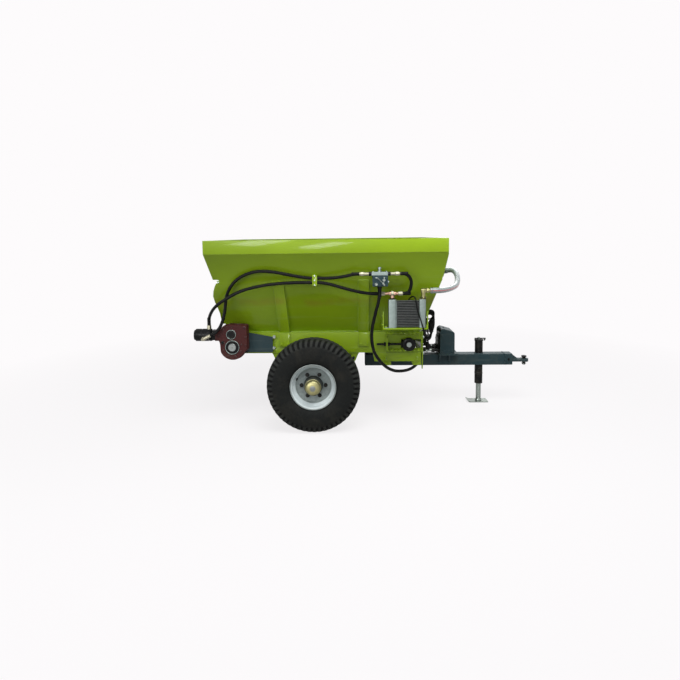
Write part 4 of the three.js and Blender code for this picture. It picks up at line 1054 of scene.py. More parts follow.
class SPREADER_OT_hopper(bpy.types.Operator):
    """Hopper walls with rounded edges, the door and the welds along posts, knee and corners."""

    bl_idname = "spreader.hopper"
    bl_label = "Hopper"

    def execute(self, context):
        for node in ("hopper_side_right", "hopper_side_left", "hopper_front_wall",
                     "hopper_rear_board"):
            softened(node, "green_paint")
        softened("rear_door", "green_paint", "rear_door")
        radius = sizes().bead
        heights = np.linspace(RAIL_TOP + 0.012, POST_TOP - 0.01, 8)
        lines = []
        for x, lean in POSTS:
            for edge in (-POST_HALF - 0.001, POST_HALF + 0.001):
                lines.append([at(x + edge + lean * (z - WALL_FOOT) / (POST_TOP - WALL_FOOT),
                                 -wall_half(z) - 0.001, z) for z in heights])
            top, x = -wall_half(POST_TOP) - 0.006, x + lean
            lines.append([at(x - POST_HALF + 0.004, top, POST_TOP),
                          at(x + POST_HALF - 0.004, top, POST_TOP)])
        foot = -wall_half(WALL_FOOT) - 0.002
        for start, end in ((-0.875, -0.36), (-0.24, 0.41), (0.53, 1.02)):
            lines.append([at(start, foot, RAIL_TOP + 0.002), at(end, foot, RAIL_TOP + 0.002)])
        lines += [[at(front_wall(z) + 0.001, -wall_half(z) + 0.004, z) for z in levels]
                  for levels in (np.linspace(0.87, 1.39, 6), np.linspace(1.41, 1.63, 4))]
        make("hopper_welds", both(sum(bead(line, radius) for line in lines)), "green_paint")
        bend = bead([at(-0.93, -0.6, KNEE), at(-0.93, 0.6, KNEE)], radius * 0.8)
        pads = sum(block(x - 0.04, x + 0.04, -0.846, -0.8405, 1.652, 1.7) for x in (-0.86, 1.13))
        make("hopper_corner_pads", bend + both(pads), "green_paint", edge=0.0015)
        x, y = -0.912, 0.631
        rings = rods("Y", (-y - 0.004, -y + 0.004, x, 1.376, 0.0155, 18, 0.001),
                     (y - 0.004, y + 0.004, x, 1.376, 0.0155, 18, 0.001))
        pins = sum(rod(at(x, y - 0.0014, 1.393), at(x, y + 0.0014, 1.358), 0.002, 8)
                   for y in (-0.6315, 0.6315))
        make("rear_door_rod_ends", rings + pins, "zinc_plate")
        return {"FINISHED"}


# ---------------- frame
WEAR_BOLTS = np.linspace(0.705, 1.0, 8)  # heads along the take-up guides, ahead of the axle


class SPREADER_OT_frame(bpy.types.Operator):
    """Rails, plates and cradle with their bolts, guides, side panels and welds."""

    bl_idname = "spreader.frame"
    bl_label = "Frame"

    def execute(self, context):
        for node in ("frame_rail_right", "frame_rail_left", "frame_front_plate",
                     "frame_cross_tube_rear", "frame_cross_tube_front", "drawbar_cradle",
                     "axle_hanger_right", "axle_hanger_left"):
            softened(node, "green_paint")
        softened("axle_beam", "slate_paint", edge=0.003)
        self.guides()
        self.side_panels()
        self.fasteners()
        radius = sizes().bead
        y = -RAIL_FACE
        lines = [[at(x, y + 0.058, 0.6525), at(x + 0.07, y + 0.058, 0.6525)]
                 for x in (0.68, 0.8, 0.92)]
        lines += [[at(way * 0.385, -0.514, 0.57), at(way * 0.14, -0.514, 0.353)] for way in (-1, 1)]
        lines += [[at(-0.052, -0.515, AXLE_Z + z), at(0.052, -0.515, AXLE_Z + z)]
                  for z in (-0.0515, 0.0515)]
        lines += [[at(1.0397, y - 0.001, 0.67), at(1.0397, y - 0.001, 0.7)],
                  [at(1.0397, y - 0.001, 0.84), at(1.0397, y - 0.001, 0.856)]]
        make("frame_welds", both(sum(bead(line, radius) for line in lines)), "green_paint")
        return {"FINISHED"}

    def guides(self):
        """Guide strips above and below the belt tightener's slot, on a row of painted heads."""
        y = -RAIL_FACE
        strips = (block(0.69, 1.024, y - 0.0085, y - GAP, 0.84, 0.851)
                  + block(0.69, 1.024, y - 0.0085, y - GAP, 0.671, 0.682))
        make("take_up_guides", both(strips), "green_paint", edge=0.002)
        heads = dome_head(0.016, 0.012)
        rows = spots(WEAR_BOLTS, y - 0.006, (0.8455, 0.679))
        make("take_up_guide_heads", both(heads.copies(rows, OUT)), "green_paint")

    def side_panels(self):
        """Slate cover plates behind the gearbox: straight foot, top falling to the front."""
        y = -RAIL_FACE
        outline = facing([at(-0.655, 0, 0.672), at(-0.414, 0, 0.672), at(-0.414, 0, 0.821),
                          at(-0.655, 0, 0.868)])
        plate = prism(filleted(outline, 0.008, closed=True), y - 0.0065, y - GAP)
        fold = block(-0.66, -0.654, y - 0.03, y - GAP, 0.672, 0.85)
        make("side_panels", both(plate + fold), "slate_paint", edge=0.0014)
        packing = block(-0.705, -0.66, y - 0.012, y - GAP, 0.668, 0.846)
        lug = block(-0.69, -0.664, y - 0.03, y - 0.01, 0.826, 0.852)
        make("gearbox_packing_right", packing + lug, "black_paint", edge=0.002)
        bearing = block(-0.705, -0.66, -y + GAP, -y + 0.012, 0.668, 0.846)
        make("bearing_packing_left", bearing, "black_paint", edge=0.002)

    def fasteners(self):
        """Bolts of the panels, hangers, cradle, front plate and clip feet."""
        y, across = -RAIL_FACE, sizes().bolt
        head = hex_head(across, across * 0.55)
        plated = head.copies([at(-0.4, y, 0.82), at(-0.404, y, 0.712)], OUT)
        hanger = [at(way * x, -0.512, z) for way in (1, -1)
                  for x, z in ((0.338, 0.622), (0.372, 0.6), (0.335, 0.585))]
        dark = nut_and_stud(across * 0.9, across * 0.5).copies(hanger, OUT)
        feet = [at(x + s, y - 0.02, 0.75) for x, _ in POSTS for s in (-0.03, 0.03)]
        cradle = spots((0.69, 0.99), y, (0.612, 0.59))
        post = (dome_head(0.009, 0.006).copies(feet, OUT)
                + nut_and_stud(across * 0.7, across * 0.4).copies(cradle, OUT))
        front = [at(1.0503, -out, z) for out, z in ((0.5, 0.64), (0.5, 0.8), (0.3, 0.64))]
        plated = plated + head.copies(front, AHEAD)
        make("frame_bolts", both(plated), "zinc_plate")
        make("frame_nuts", both(dark), "black_paint")
        make("post_rivets", both(post), "green_paint")


# ---------------- wheels
# Half of the tyre's section, (radius, distance from its middle plane), bead to crown.
TYRE_SECTION = [(0.196, 0.103), (0.206, 0.1035), (0.216, 0.106), (0.226, 0.115), (0.244, 0.1225),
                (0.262, 0.1265), (0.29, 0.1292), (0.318, 0.13), (0.345, 0.1287), (0.374, 0.1255),
                (0.393, 0.1205), (0.408, 0.1125), (0.4195, 0.1), (0.4252, 0.082), (0.429, 0.053),
                (0.43, 0.02)]
TYRE_TURNS = 9  # stations round for each lug
SHOULDER, SLANT = 0.043, 2.6  # where the lugs begin, off the middle; their lean in lugs a metre
RIM_SECTION = [(0.1945, 0.1035), (0.206, 0.1043), (0.213, 0.108), (0.21, 0.114), (0.203, 0.1135),
               (0.192, 0.104), (0.1895, 0.06), (0.16, 0.042), (0.16, 0.034), (0.11, 0.03),
               (0.082, 0.024), (0.082, 0.012), (0.112, 0.018), (0.152, 0.022), (0.152, -0.036),
               (0.178, -0.06), (0.184, -0.104), (0.2, -0.113), (0.21, -0.114), (0.213, -0.108),
               (0.206, -0.1043), (0.1945, -0.1035), (0.1945, -0.062), (0.164, -0.036),
               (0.164, 0.03), (0.1945, 0.062)]
HUB_SECTION = [(0.088, -0.01), (0.14, -0.006), (0.14, 0.0115), (0.082, 0.0115), (0.0785, 0.11),
               (0.0365, 0.11), (0.0365, -0.07), (0.074, -0.07)]
CAP_SECTION = [(0.0, 0.1545), (0.022, 0.154), (0.038, 0.1525), (0.052, 0.148), (0.062, 0.141),
               (0.0685, 0.129), (0.0705, 0.118), (0.0705, 0.112), (0.0745, 0.111), (0.0745, 0.106)]
STUD_RING, WELD_RING = 0.111, 0.1595  # radius of the wheel studs and of the weld round the disc
VALVE_PLACE = (-0.151, 0.062)  # of the tyre's air valve, ahead of and above the axle


def tread(side):
    """A tyre as one closed ring. The section is a smooth curve through its stations; round the
    crown it sinks by the lug depth wherever the pattern is off. The pattern is a rounded pulse
    that repeats with each lug on the shoulders, half a lug apart left and right and slanted with
    the distance from the crown, and two zigzag grooves in the middle. Also, for each point, its
    depth in the pattern and how far it is within the pattern's edge, both from 0 to 1."""
    half = smooth(TYRE_SECTION + [(0.43, -0.02)], 0.0052)
    half = half[half[:, 1] > 0.001]
    section = np.vstack([half, half[::-1] * [1, -1]])
    lugs = sizes().lugs
    turn = np.arange(lugs * TYRE_TURNS) / (lugs * TYRE_TURNS)
    radius, offset = section.T
    out = np.abs(offset)
    shoulder = np.clip((out - SHOULDER) / 0.006, 0, 1)
    phase = turn[:, None] * lugs + 0.5 * (offset > 0) - SLANT * (out - SHOULDER) * np.sign(offset)
    lug = np.clip((0.3 - np.abs(phase % 1 - 0.5)) / 0.12 + 0.5, 0, 1)
    zigzag = 0.029 + 0.006 * np.abs(phase * 2 % 2 - 1)
    groove = np.clip((np.abs(out - zigzag) - 0.0045) / 0.0025, 0, 1)
    raised = shoulder * lug + (1 - shoulder) * groove
    crown = np.clip((radius - 0.366) / 0.016, 0, 1)
    normal = unit(np.stack([np.gradient(offset), -np.gradient(radius)], 1))
    normal = normal * np.where(np.sum(normal * section, 1) < 0, -1, 1)[:, None]
    sink = sizes().lug_depth * crown * (1 - raised)
    sink = sink * (1 - 0.8 * np.clip((radius - 0.41) / 0.01, 0, 1))
    ringed = (radius > 0.233) & (radius < 0.262)
    rings = 0.0009 * np.sin((radius - 0.23) * TAU / 0.0105) * ringed
    depth = (rings - sink)[..., None]
    place = section[None] + normal[None] * depth
    angle = turn[:, None] * TAU
    ring = np.stack([place[..., 0] * np.cos(angle), side * (TYRE_MID + place[..., 1]),
                     place[..., 0] * np.sin(angle)], -1)
    ring = ring + [AXLE_X, 0, AXLE_Z]
    sunk = (crown * (1 - raised)).ravel()
    return surface(ring, loop_u=True), np.stack([sunk, np.tile(crown, len(turn)), sunk], 1)


class SPREADER_OT_wheels(bpy.types.Operator):
    """Both wheels: tyre with its tread, rim, hub, studs with nuts, cap and air valve."""

    bl_idname = "spreader.wheels"
    bl_label = "Wheels"

    def execute(self, context):
        for side, word in ((RIGHT, "right"), (LEFT, "left")):
            body, out = f"wheel_{word}", (0, side, 0)
            middle = at(0, 0, AXLE_Z)
            tyre, sunk = tread(side)
            make(f"tyre_{word}_tread", tyre, "tyre_rubber", body, (f"tyre_{word}",), crease=50,
                 lay=sunk)
            section = np.array(RIM_SECTION) + [0, TYRE_MID]
            rim = lathe(filleted(section, 0.006, 4, closed=True), middle, out, 96, loop=True)
            weld = around(at(0, side * (TYRE_MID + 0.034), AXLE_Z), WELD_RING, shares(96))
            rim = rim + sweep(weld, circle(0.004, 6), LEFTWARD, loop=True)
            make(f"rim_{word}_finished", rim, "wheel_silver", body, (f"rim_{word}",))
            section = np.array(HUB_SECTION) + [0, TYRE_MID]
            hub = lathe(filleted(section, 0.003, 3, closed=True), middle, out, 64, loop=True)
            make(f"hub_{word}_finished", hub, "wheel_silver", body, (f"hub_{word}",))
            cap = np.vstack([filleted(CAP_SECTION, 0.003, 4), [(0.0, 0.106)]]) + [0, TYRE_MID]
            cap = lathe(cap, middle, out, 48)
            nose = lathe(np.array([(0.028, 0.15), (0.028, 0.1542), (0.025, 0.1549)]) + [0, TYRE_MID],
                         middle, out, 6)
            make(f"hub_{word}_cap", cap, "brass_fitting", body, crease=30)
            make(f"hub_{word}_cap_nose", nose, "bare_steel", body, crease=30)
            studs = around(at(0, side * (TYRE_MID + 0.03), AXLE_Z), STUD_RING, shares(6))
            nuts = nut_and_stud(0.029, 0.018).copies(studs, out)
            make(f"wheel_{word}_nuts", nuts, "black_paint", body)
            foot = at(VALVE_PLACE[0], side * (TYRE_MID + 0.045), AXLE_Z + VALVE_PLACE[1])
            stem = lathe([(0.009, -0.008), (0.0095, 0.006), (0.005, 0.014), (0.0042, 0.036),
                          (0.0052, 0.037), (0.0052, 0.046)], foot, out, 14)
            make(f"wheel_{word}_air_valve", stem, "black_paint", body)
        return {"FINISHED"}


# ---------------- belt floor
SCREW_REACH = 0.26  # length of the belt tightener's screw


class SPREADER_OT_belt(bpy.types.Operator):
    """Belt loop with its joint, both rollers, their bearings and the tighteners."""

    bl_idname = "spreader.belt"
    bl_label = "Belt floor"

    def execute(self, context):
        self.loop()
        x, drive_x, y = IDLER_X - AXLE_X, DRIVE_X - AXLE_X, RAIL_FACE
        steel = [(0.0355, -0.664), (0.038, -0.6615), (0.038, -0.43), (0.067, -0.425), (0.07, -0.422)]
        far = [(0.07, 0.422), (0.067, 0.425), (0.03, 0.43), (0.03, 0.578), (0.028, 0.58)]
        wrap = np.stack([np.tile([0.07, 0.07, 0.0685, 0.0685], 28), np.linspace(-0.41, 0.41, 112)], 1)
        drive = lathe(np.vstack([steel, wrap, far]), at(drive_x, 0, DRUM_Z), LEFTWARD, 48)
        dimple = rods("Y", (-0.6655, -0.66, drive_x, DRUM_Z, 0.009, 16, 0.002))
        make("drive_roller_finished", drive + dimple, "bare_steel", replaces=("drive_roller",))
        idler = [(0.024, -0.588), (0.026, -0.586), (0.026, -0.43), (0.067, -0.425), (0.07, -0.42),
                 (0.07, 0.42), (0.067, 0.425), (0.026, 0.43), (0.026, 0.586), (0.024, 0.588)]
        make("idler_roller_finished", lathe(idler, at(x, 0, DRUM_Z), LEFTWARD, 48), "black_paint",
             replaces=("idler_roller",))
        ends = rods("Y", (-0.5925, -0.587, x, DRUM_Z, 0.0255, 24, 0.002))
        make("idler_shaft_ends", both(ends), "zinc_plate")
        self.tighteners()
        flange = prism(oblong(DRIVE_X - 0.062, DRIVE_X + 0.062, DRUM_Z - 0.062, DRUM_Z + 0.062, 0.02),
                       y + GAP, y + 0.014)
        housing = lathe([(0.054, y + 0.012), (0.053, y + 0.03), (0.047, y + 0.044), (0.036, y + 0.047),
                         (0.0305, y + 0.044), (0.0305, y + 0.012)], at(drive_x, 0, DRUM_Z), LEFTWARD,
                        40, loop=True)
        bolts = hex_head(0.019, 0.011).copies(
            spots((drive_x - 0.046, drive_x + 0.046), y + 0.014, (DRUM_Z - 0.046, DRUM_Z + 0.046)),
            LEFTWARD)
        make("drive_bearing_left_finished", flange + housing + bolts, "black_paint",
             replaces=("drive_bearing_left",))
        return {"FINISHED"}

    def loop(self):
        """The belt: a flat section with rounded edges carried round two half circles and the two
        straight runs between them."""
        radius = DRUM_R + 0.005
        half_turn = 25  # stations round each half circle
        front = np.linspace(-0.5, 0.5, half_turn) * math.pi
        bow = np.stack([IDLER_X + radius * np.cos(front), DRUM_Z + radius * np.sin(front)], 1)
        stern = np.stack([DRIVE_X - radius * np.cos(front), DRUM_Z - radius * np.sin(front)], 1)
        line = np.vstack([bow, stern])
        path = np.stack([line[:, 0], 0 * line[:, 0], line[:, 1]], 1)
        half = BELT.size[1] / 2
        section = oblong(-half, half, -0.0048, 0.0048, 0.003, 3)
        along = unit(np.roll(path, -1, 0) - np.roll(path, 1, 0))
        along[[0, -1]], along[[half_turn - 1, half_turn]] = AHEAD, BACK
        over = np.cross(along, LEFTWARD)
        grid = path[:, None] + section[:, :1] * LEFTWARD + section[:, 1:] * over[:, None]
        make("conveyor_belt_finished", surface(grid, loop_u=True), "belt_rubber",
             replaces=("conveyor_belt",), crease=60)
        hook = block(-0.012, 0.012, -0.009, 0.009, -0.0012, 0.0022).moved([-AXLE_X, 0, 0])
        places = spots(0.2, np.linspace(-0.405, 0.405, 28), DRUM_Z + DRUM_R + 0.0103)
        make("belt_joint_plates", hook.copies(places), "bare_steel", edge=0.0008)

    def tighteners(self):
        """Bearing block in its slot, threaded rod, two nuts, stop plate and grease nipple."""
        x, y, rod_y = IDLER_X - AXLE_X, -RAIL_FACE, -0.548
        blockwork = block(x - 0.052, x + 0.052, y - 0.037, y - GAP, DRUM_Z - 0.044, DRUM_Z + 0.044)
        tongue = block(x - 0.046, x + 0.046, y - 0.001, y + 0.02, DRUM_Z - 0.036, DRUM_Z + 0.036)
        ears = block(x - 0.075, x - 0.045, rod_y - 0.02, rod_y + 0.014, DRUM_Z - 0.02, DRUM_Z + 0.02)
        profile = np.array([(0.066, 0.02), (0.065, 0.036), (0.06, 0.046), (0.052, 0.048), (0.05, 0.043),
                            (0.035, 0.043), (0.033, 0.049), (0.0265, 0.049), (0.0265, 0.02)])
        housing = lathe(profile, at(x, y, DRUM_Z), OUT, 40, loop=True)
        casting = blockwork + tongue + ears
        nipple = lathe([(0.005, 0), (0.005, 0.006), (0.0035, 0.008), (0.0045, 0.012), (0.002, 0.014)],
                       segments=10).copies([at(x - 0.03, y - 0.03, DRUM_Z + 0.043)])
        stop = block(0.688, 0.704, -0.59, y - GAP, 0.684, 0.812)
        pitch = sizes().thread
        turns = int(SCREW_REACH / pitch)
        ridge = np.stack([np.tile([0.011, 0.0094], turns), np.arange(2 * turns) * pitch / 2], 1)
        screw = lathe(ridge, at(0.598, rod_y, DRUM_Z), AHEAD, 14)
        nuts = hexes("X", (0.668, 0.686, rod_y, DRUM_Z, 0.034), (0.706, 0.724, rod_y, DRUM_Z, 0.034))
        make("take_up_castings", both(casting), "black_paint", edge=0.004, steps=3,
             replaces=("take_up_right", "take_up_left"))
        make("take_up_housings", both(housing), "black_paint")
        make("take_up_stop_plates", both(stop), "green_paint", edge=0.001)
        make("take_up_screws", both(screw + nuts + nipple), "black_paint")


# ---------------- gearbox and its motor
def ring(radius, bore, low, high, centre, side=RIGHT, segments=48):
    """A flat ring with soft rims round a line across the machine, between two distances out."""
    soft = min(0.002, (high - low) / 3)
    profile = [(radius, low), (radius, high - soft), (radius - soft, high), (bore + soft, high),
               (bore, high - soft), (bore, low)]
    return lathe(profile, centre, (0, side, 0), segments, loop=True)


class SPREADER_OT_belt_drive(bpy.types.Operator):
    """Cast gearbox on the drive roller with its covers, and the hydraulic motor behind it."""

    bl_idname = "spreader.belt_drive"
    bl_label = "Belt drive"

    def execute(self, context):
        x = DRIVE_X - AXLE_X
        turns = np.radians(np.linspace(-22, -158, 15))
        low = 0.125 * np.column_stack([np.cos(turns), np.sin(turns)])
        outline = np.array([(-0.107, 0.182), (-0.078, 0.205), (-0.02, 0.217), (0.143, 0.21),
                            (0.146, -0.024), *low, (-0.12, 0.034), (-0.145, 0.1), (-0.15, 0.146)])
        place = facing(at(x, 0, DRUM_Z))
        case = prism(filleted(outline, 0.016, 5, closed=True) + place, -0.648, -0.5355)
        make("gearbox_case", case, "red_paint", edge=0.008, steps=4, replaces=("gearbox",))
        middle = np.array([0.0, 0.06])
        flange = prism(filleted((outline - middle) * 1.035 + middle, 0.016, 5, closed=True) + place,
                       -0.6, -0.586)
        foot = block(x - 0.1, x + 0.12, -0.5357, -0.5255, DRUM_Z + 0.06, 0.848)
        joint = block(-0.957, -0.9, -0.645, -0.545, 0.804, 0.906)
        ribs = sum(block(x + a, x + a + 0.009, -0.63, -0.55, DRUM_Z + 0.19, DRUM_Z + 0.221)
                   for a in (-0.03, 0.05))
        make("gearbox_flanges", flange + foot + joint + ribs, "red_paint", edge=0.003)
        lower, upper = at(x, 0, DRUM_Z), at(x - 0.008, 0, DRUM_Z + 0.124)
        bosses = ring(0.07, 0.045, 0.645, 0.655, lower) + ring(0.05, 0.02, 0.645, 0.653, upper)
        make("gearbox_bosses", bosses, "red_paint")
        rims = ring(0.0685, 0.0625, 0.652, 0.6585, lower) + ring(0.0465, 0.041, 0.65, 0.657, upper)
        make("gearbox_cover_rims", rims, "bare_aluminium")
        seal = ring(0.0625, 0.0385, 0.65, 0.6565, lower)
        domed = lathe([(0.041, 0.648), (0.0405, 0.654), (0.037, 0.6565), (0.03, 0.657), (0.028, 0.655),
                       (0.0, 0.655)], upper, OUT, 40)
        make("gearbox_seals", seal + domed, "black_paint")
        cover = -0.648  # outer face of the case
        turns = shares(8, math.radians(20))
        turns = turns[np.sin(turns) < 0.8]  # none where the upper boss stands
        corners = [(-0.085, 0.176), (0.0, 0.2), (0.12, 0.192), (0.128, 0.1), (0.128, 0.02),
                   (-0.125, 0.115)]
        places = [*around(at(x, cover, DRUM_Z), 0.0905, turns),
                  *(at(x + a, cover, DRUM_Z + b) for a, b in corners)]
        make("gearbox_bolts", hex_head(0.016, 0.009).copies(places, OUT), "red_paint")
        plug = hex_head(0.024, 0.014).copies(at(x - 0.092, cover, DRUM_Z + 0.046), OUT)
        make("gearbox_plug", plug, "black_paint")
        self.motor()
        return {"FINISHED"}

    def motor(self):
        """The motor end to end along X: flange, neck, ribbed body, end cover, ports and bolts."""
        y, z = -0.595, 0.855
        body = lathe([(0.05, -1.162), (0.0485, -1.161), (0.049, -1.152), (0.058, -1.149),
                      (0.06, -1.145), (0.06, -1.1), (0.0575, -1.098), (0.0575, -1.088),
                      (0.06, -1.086), (0.06, -1.03), (0.0575, -1.028), (0.0575, -1.016),
                      (0.06, -1.014), (0.06, -1.0), (0.056, -0.997), (0.04, -0.996),
                      (0.04, -0.98)], at(0, y, z), AHEAD, 48)
        flange = prism(oblong(y - 0.047, y + 0.047, z - 0.048, z + 0.048, 0.02), AXLE_X - 0.982,
                       AXLE_X - 0.9575, "X")
        make("conveyor_motor_body", body + flange, "black_paint", replaces=("conveyor_motor",),
             crease=32)
        x, out, low = -1.062, -0.694, 0.828  # the side port's station, its elbow's side and height
        ports = (hexes("Z", (0.908, 0.9495, -1.022, y, 0.036))
                 + rods("Y", (y, out, x, low, 0.016, 20, 0.002)))
        elbow = filleted([at(x, -0.66, low), at(x, out, low), at(-1.0, out, 0.86),
                          at(-0.987, out, 0.867)], 0.018, 6)
        elbow = sweep(elbow, circle(0.0155, 14), (0.02, 0.1, 1))
        collar = hexes("Y", (-0.652, -0.672, x, low, 0.038))
        make("conveyor_motor_ports", ports + elbow + collar, "pale_fitting")
        bolts = hex_head(0.017, 0.01).copies(
            spots(-0.982, (y - 0.036, y + 0.036), (z - 0.038, z + 0.038)), BACK)
        rear = hex_head(0.013, 0.007).copies(
            around(at(-1.155, y, z), 0.04, shares(7, math.radians(12)), "X"), BACK)
        make("conveyor_motor_bolts", bolts + rear, "black_paint")


# ---------------- beater
BLADE_ROWS, BLADES_EACH, BLADES_HALF = 6, 5, 0.42  # rows, blades in each, half of their spread
PIPE_CLAMPS = (-0.56, 0.16, 0.72)  # the left pipes' clamps, ahead of the axle


class SPREADER_OT_beater(bpy.types.Operator):
    """Beater tube with rows of pointed blades, its bearing, its motor and its steel pipes."""

    bl_idname = "spreader.beater"
    bl_label = "Beater"

    def execute(self, context):
        x, z = BEATER.mid[0] - AXLE_X, 0.985
        tube = lathe([(0.019, -0.502), (0.019, -0.456), (0.04, -0.455), (0.042, -0.453),
                      (0.042, 0.453), (0.04, 0.455), (0.019, 0.456), (0.019, 0.568)],
                     at(x, 0, z), LEFTWARD, 40)
        ends = sum(ring(0.06, 0.03, 0.43, 0.438, at(x, 0, z), side, 40) for side in (RIGHT, LEFT))
        make("beater_tube", tube + ends, "slate_paint", "beater", replaces=("beater",))
        blade = filleted([(0.036, -0.02), (0.036, 0.02), (0.085, 0.02), (0.105, 0.009),
                          (0.105, -0.009), (0.085, -0.02)], 0.003, 3, closed=True)
        tooth = prism(blade, -0.005, 0.005, "Z")
        lug = prism([(0.03, -0.014), (0.03, 0.014), (0.062, 0.014), (0.062, -0.014)], 0.005, 0.012,
                    "Z")
        blades, heads = [], []
        head = hex_head(0.016, 0.009).moved([0.05, 0, 0.012])
        pitch = 2 * BLADES_HALF / BLADES_EACH
        for row, angle in enumerate(shares(BLADE_ROWS)):
            cos, sin = math.cos(angle), math.sin(angle)
            turn = np.array([[cos, 0, -sin], [0, 1, 0], [sin, 0, cos]])
            ys = -BLADES_HALF + pitch * (np.arange(BLADES_EACH) + (0.75 if row % 2 else 0.25))
            for own, kept in ((tooth, blades), (lug, blades), (head, heads)):
                own = Shape(own.points @ turn, own.corners, own.counts)
                kept.append(own.copies(spots(x, ys, z)))
        make("beater_blades", sum(blades), "slate_paint", "beater", edge=0.0012)
        make("beater_bolts", sum(heads), "zinc_plate", "beater")
        softened("beater_bearing_right", "black_paint", edge=0.004)
        softened("beater_motor", "black_paint", edge=0.003)
        cover = lathe([(0.0555, 0.69), (0.0565, 0.692), (0.0565, 0.712), (0.052, 0.7265),
                       (0.03, 0.7285), (0.0, 0.7285)], at(x, 0, z), LEFTWARD, 40)
        make("beater_motor_cover", cover, "black_paint")
        nuts = hexes("Z", *((z - 0.058, z - 0.034, x + s, 0.69, 0.034) for s in (-0.03, 0.03)))
        make("beater_motor_unions", nuts, "zinc_plate")
        self.pipes(x, z)
        return {"FINISHED"}

    def pipes(self, x, z):
        """Two bent steel pipes along the left rail in three clamps."""
        upper = [(x - 0.03, 0.69, z - 0.0603), (x - 0.03, 0.69, 0.902), (x - 0.01, 0.64, 0.898),
                 (1.082, 0.64, 0.898), (1.11, 0.6, 0.89), (1.11, 0.116, 0.665), (1.11, 0.085, 0.598),
                 (1.2897, 0.085, 0.598)]
        lower = [(x + 0.03, 0.69, z - 0.0603), (x + 0.03, 0.69, 0.884), (x + 0.05, 0.64, 0.874),
                 (1.06, 0.64, 0.874), (1.082, 0.6, 0.862), (1.082, 0.096, 0.637),
                 (1.082, 0.062, 0.568), (1.2897, 0.062, 0.568)]
        lines = sum(sweep(filleted(np.array(points) + at(0, 0, 0), 0.03, 7), circle(0.011, 14),
                          (0.3, -0.5, 0.8)) for points in (upper, lower))
        make("steel_lines_left_finished", lines, "black_paint", replaces=("steel_lines_left",))
        clamps = sum(block(s - 0.015, s + 0.015, 0.622, 0.658, RAIL_TOP + 0.0003, 0.912)
                     + block(s - 0.015, s + 0.015, 0.5, 0.63, RAIL_TOP + 0.0003, RAIL_TOP + 0.006)
                     for s in PIPE_CLAMPS)
        make("steel_line_clamps", clamps, "black_paint", edge=0.002)
        heads = hex_head(0.017, 0.009).copies(spots(PIPE_CLAMPS, 0.64, 0.912)
                                              + spots(PIPE_CLAMPS, 0.515, RAIL_TOP + 0.006))
        make("steel_line_bolts", heads, "zinc_plate")
        unions = sum(hex_between(at(1.256, a, b), at(1.2897, a, b), 0.032)
                     for a, b in ((0.085, 0.598), (0.062, 0.568)))
        make("steel_line_unions", unions, "black_paint")


# ---------------- drawbar, hitch and jack
class SPREADER_OT_drawbar(bpy.types.Operator):
    """Drawbar, hitch eye and its pin with rounded edges, welds, clamp bolts and pin clip."""

    bl_idname = "spreader.drawbar"
    bl_label = "Drawbar and hitch"

    def execute(self, context):
        softened("drawbar", "slate_paint", edge=0.006, steps=3)
        softened("hitch_eye", "slate_paint", edge=0.003)
        softened("hitch_pin", "black_paint", edge=0.003)
        radius = sizes().bead
        x, y = 1.981, 0.0605
        seams = [[at(x, -y, 0.409), at(x, -y, 0.525)], [at(x, -y, 0.5255), at(x, y, 0.5255)],
                 [at(2.06, -0.042, 0.4615), at(2.06, 0.042, 0.4615)]]
        collar = around((JACK.mid[0], 0, 0.5262), 0.044, shares(48), "Z")
        welds = sum(bead(line, radius) for line in seams)
        welds = welds + sweep(collar, circle(radius, 6), loop=True)
        make("drawbar_welds", welds, "slate_paint")
        clamps = spots((0.685, 0.715, 0.976, 1.006), (-0.085, 0.085), 0.58)
        make("drawbar_bolts", nut_and_stud(0.024, 0.014).copies(clamps)
             + hex_head(0.019, 0.01).copies(at(2.02, -0.06, 0.467), OUT), "black_paint")
        clip = around(at(2.199, 0, 0.4125), 0.023, np.linspace(0.3, TAU - 0.3, 22), "Z")
        make("hitch_pin_clip", sweep(clip, circle(0.0024, 6)), "zinc_plate")
        return {"FINISHED"}


GROOVE_PITCH = 0.0225  # between the grooves of the jack's leg


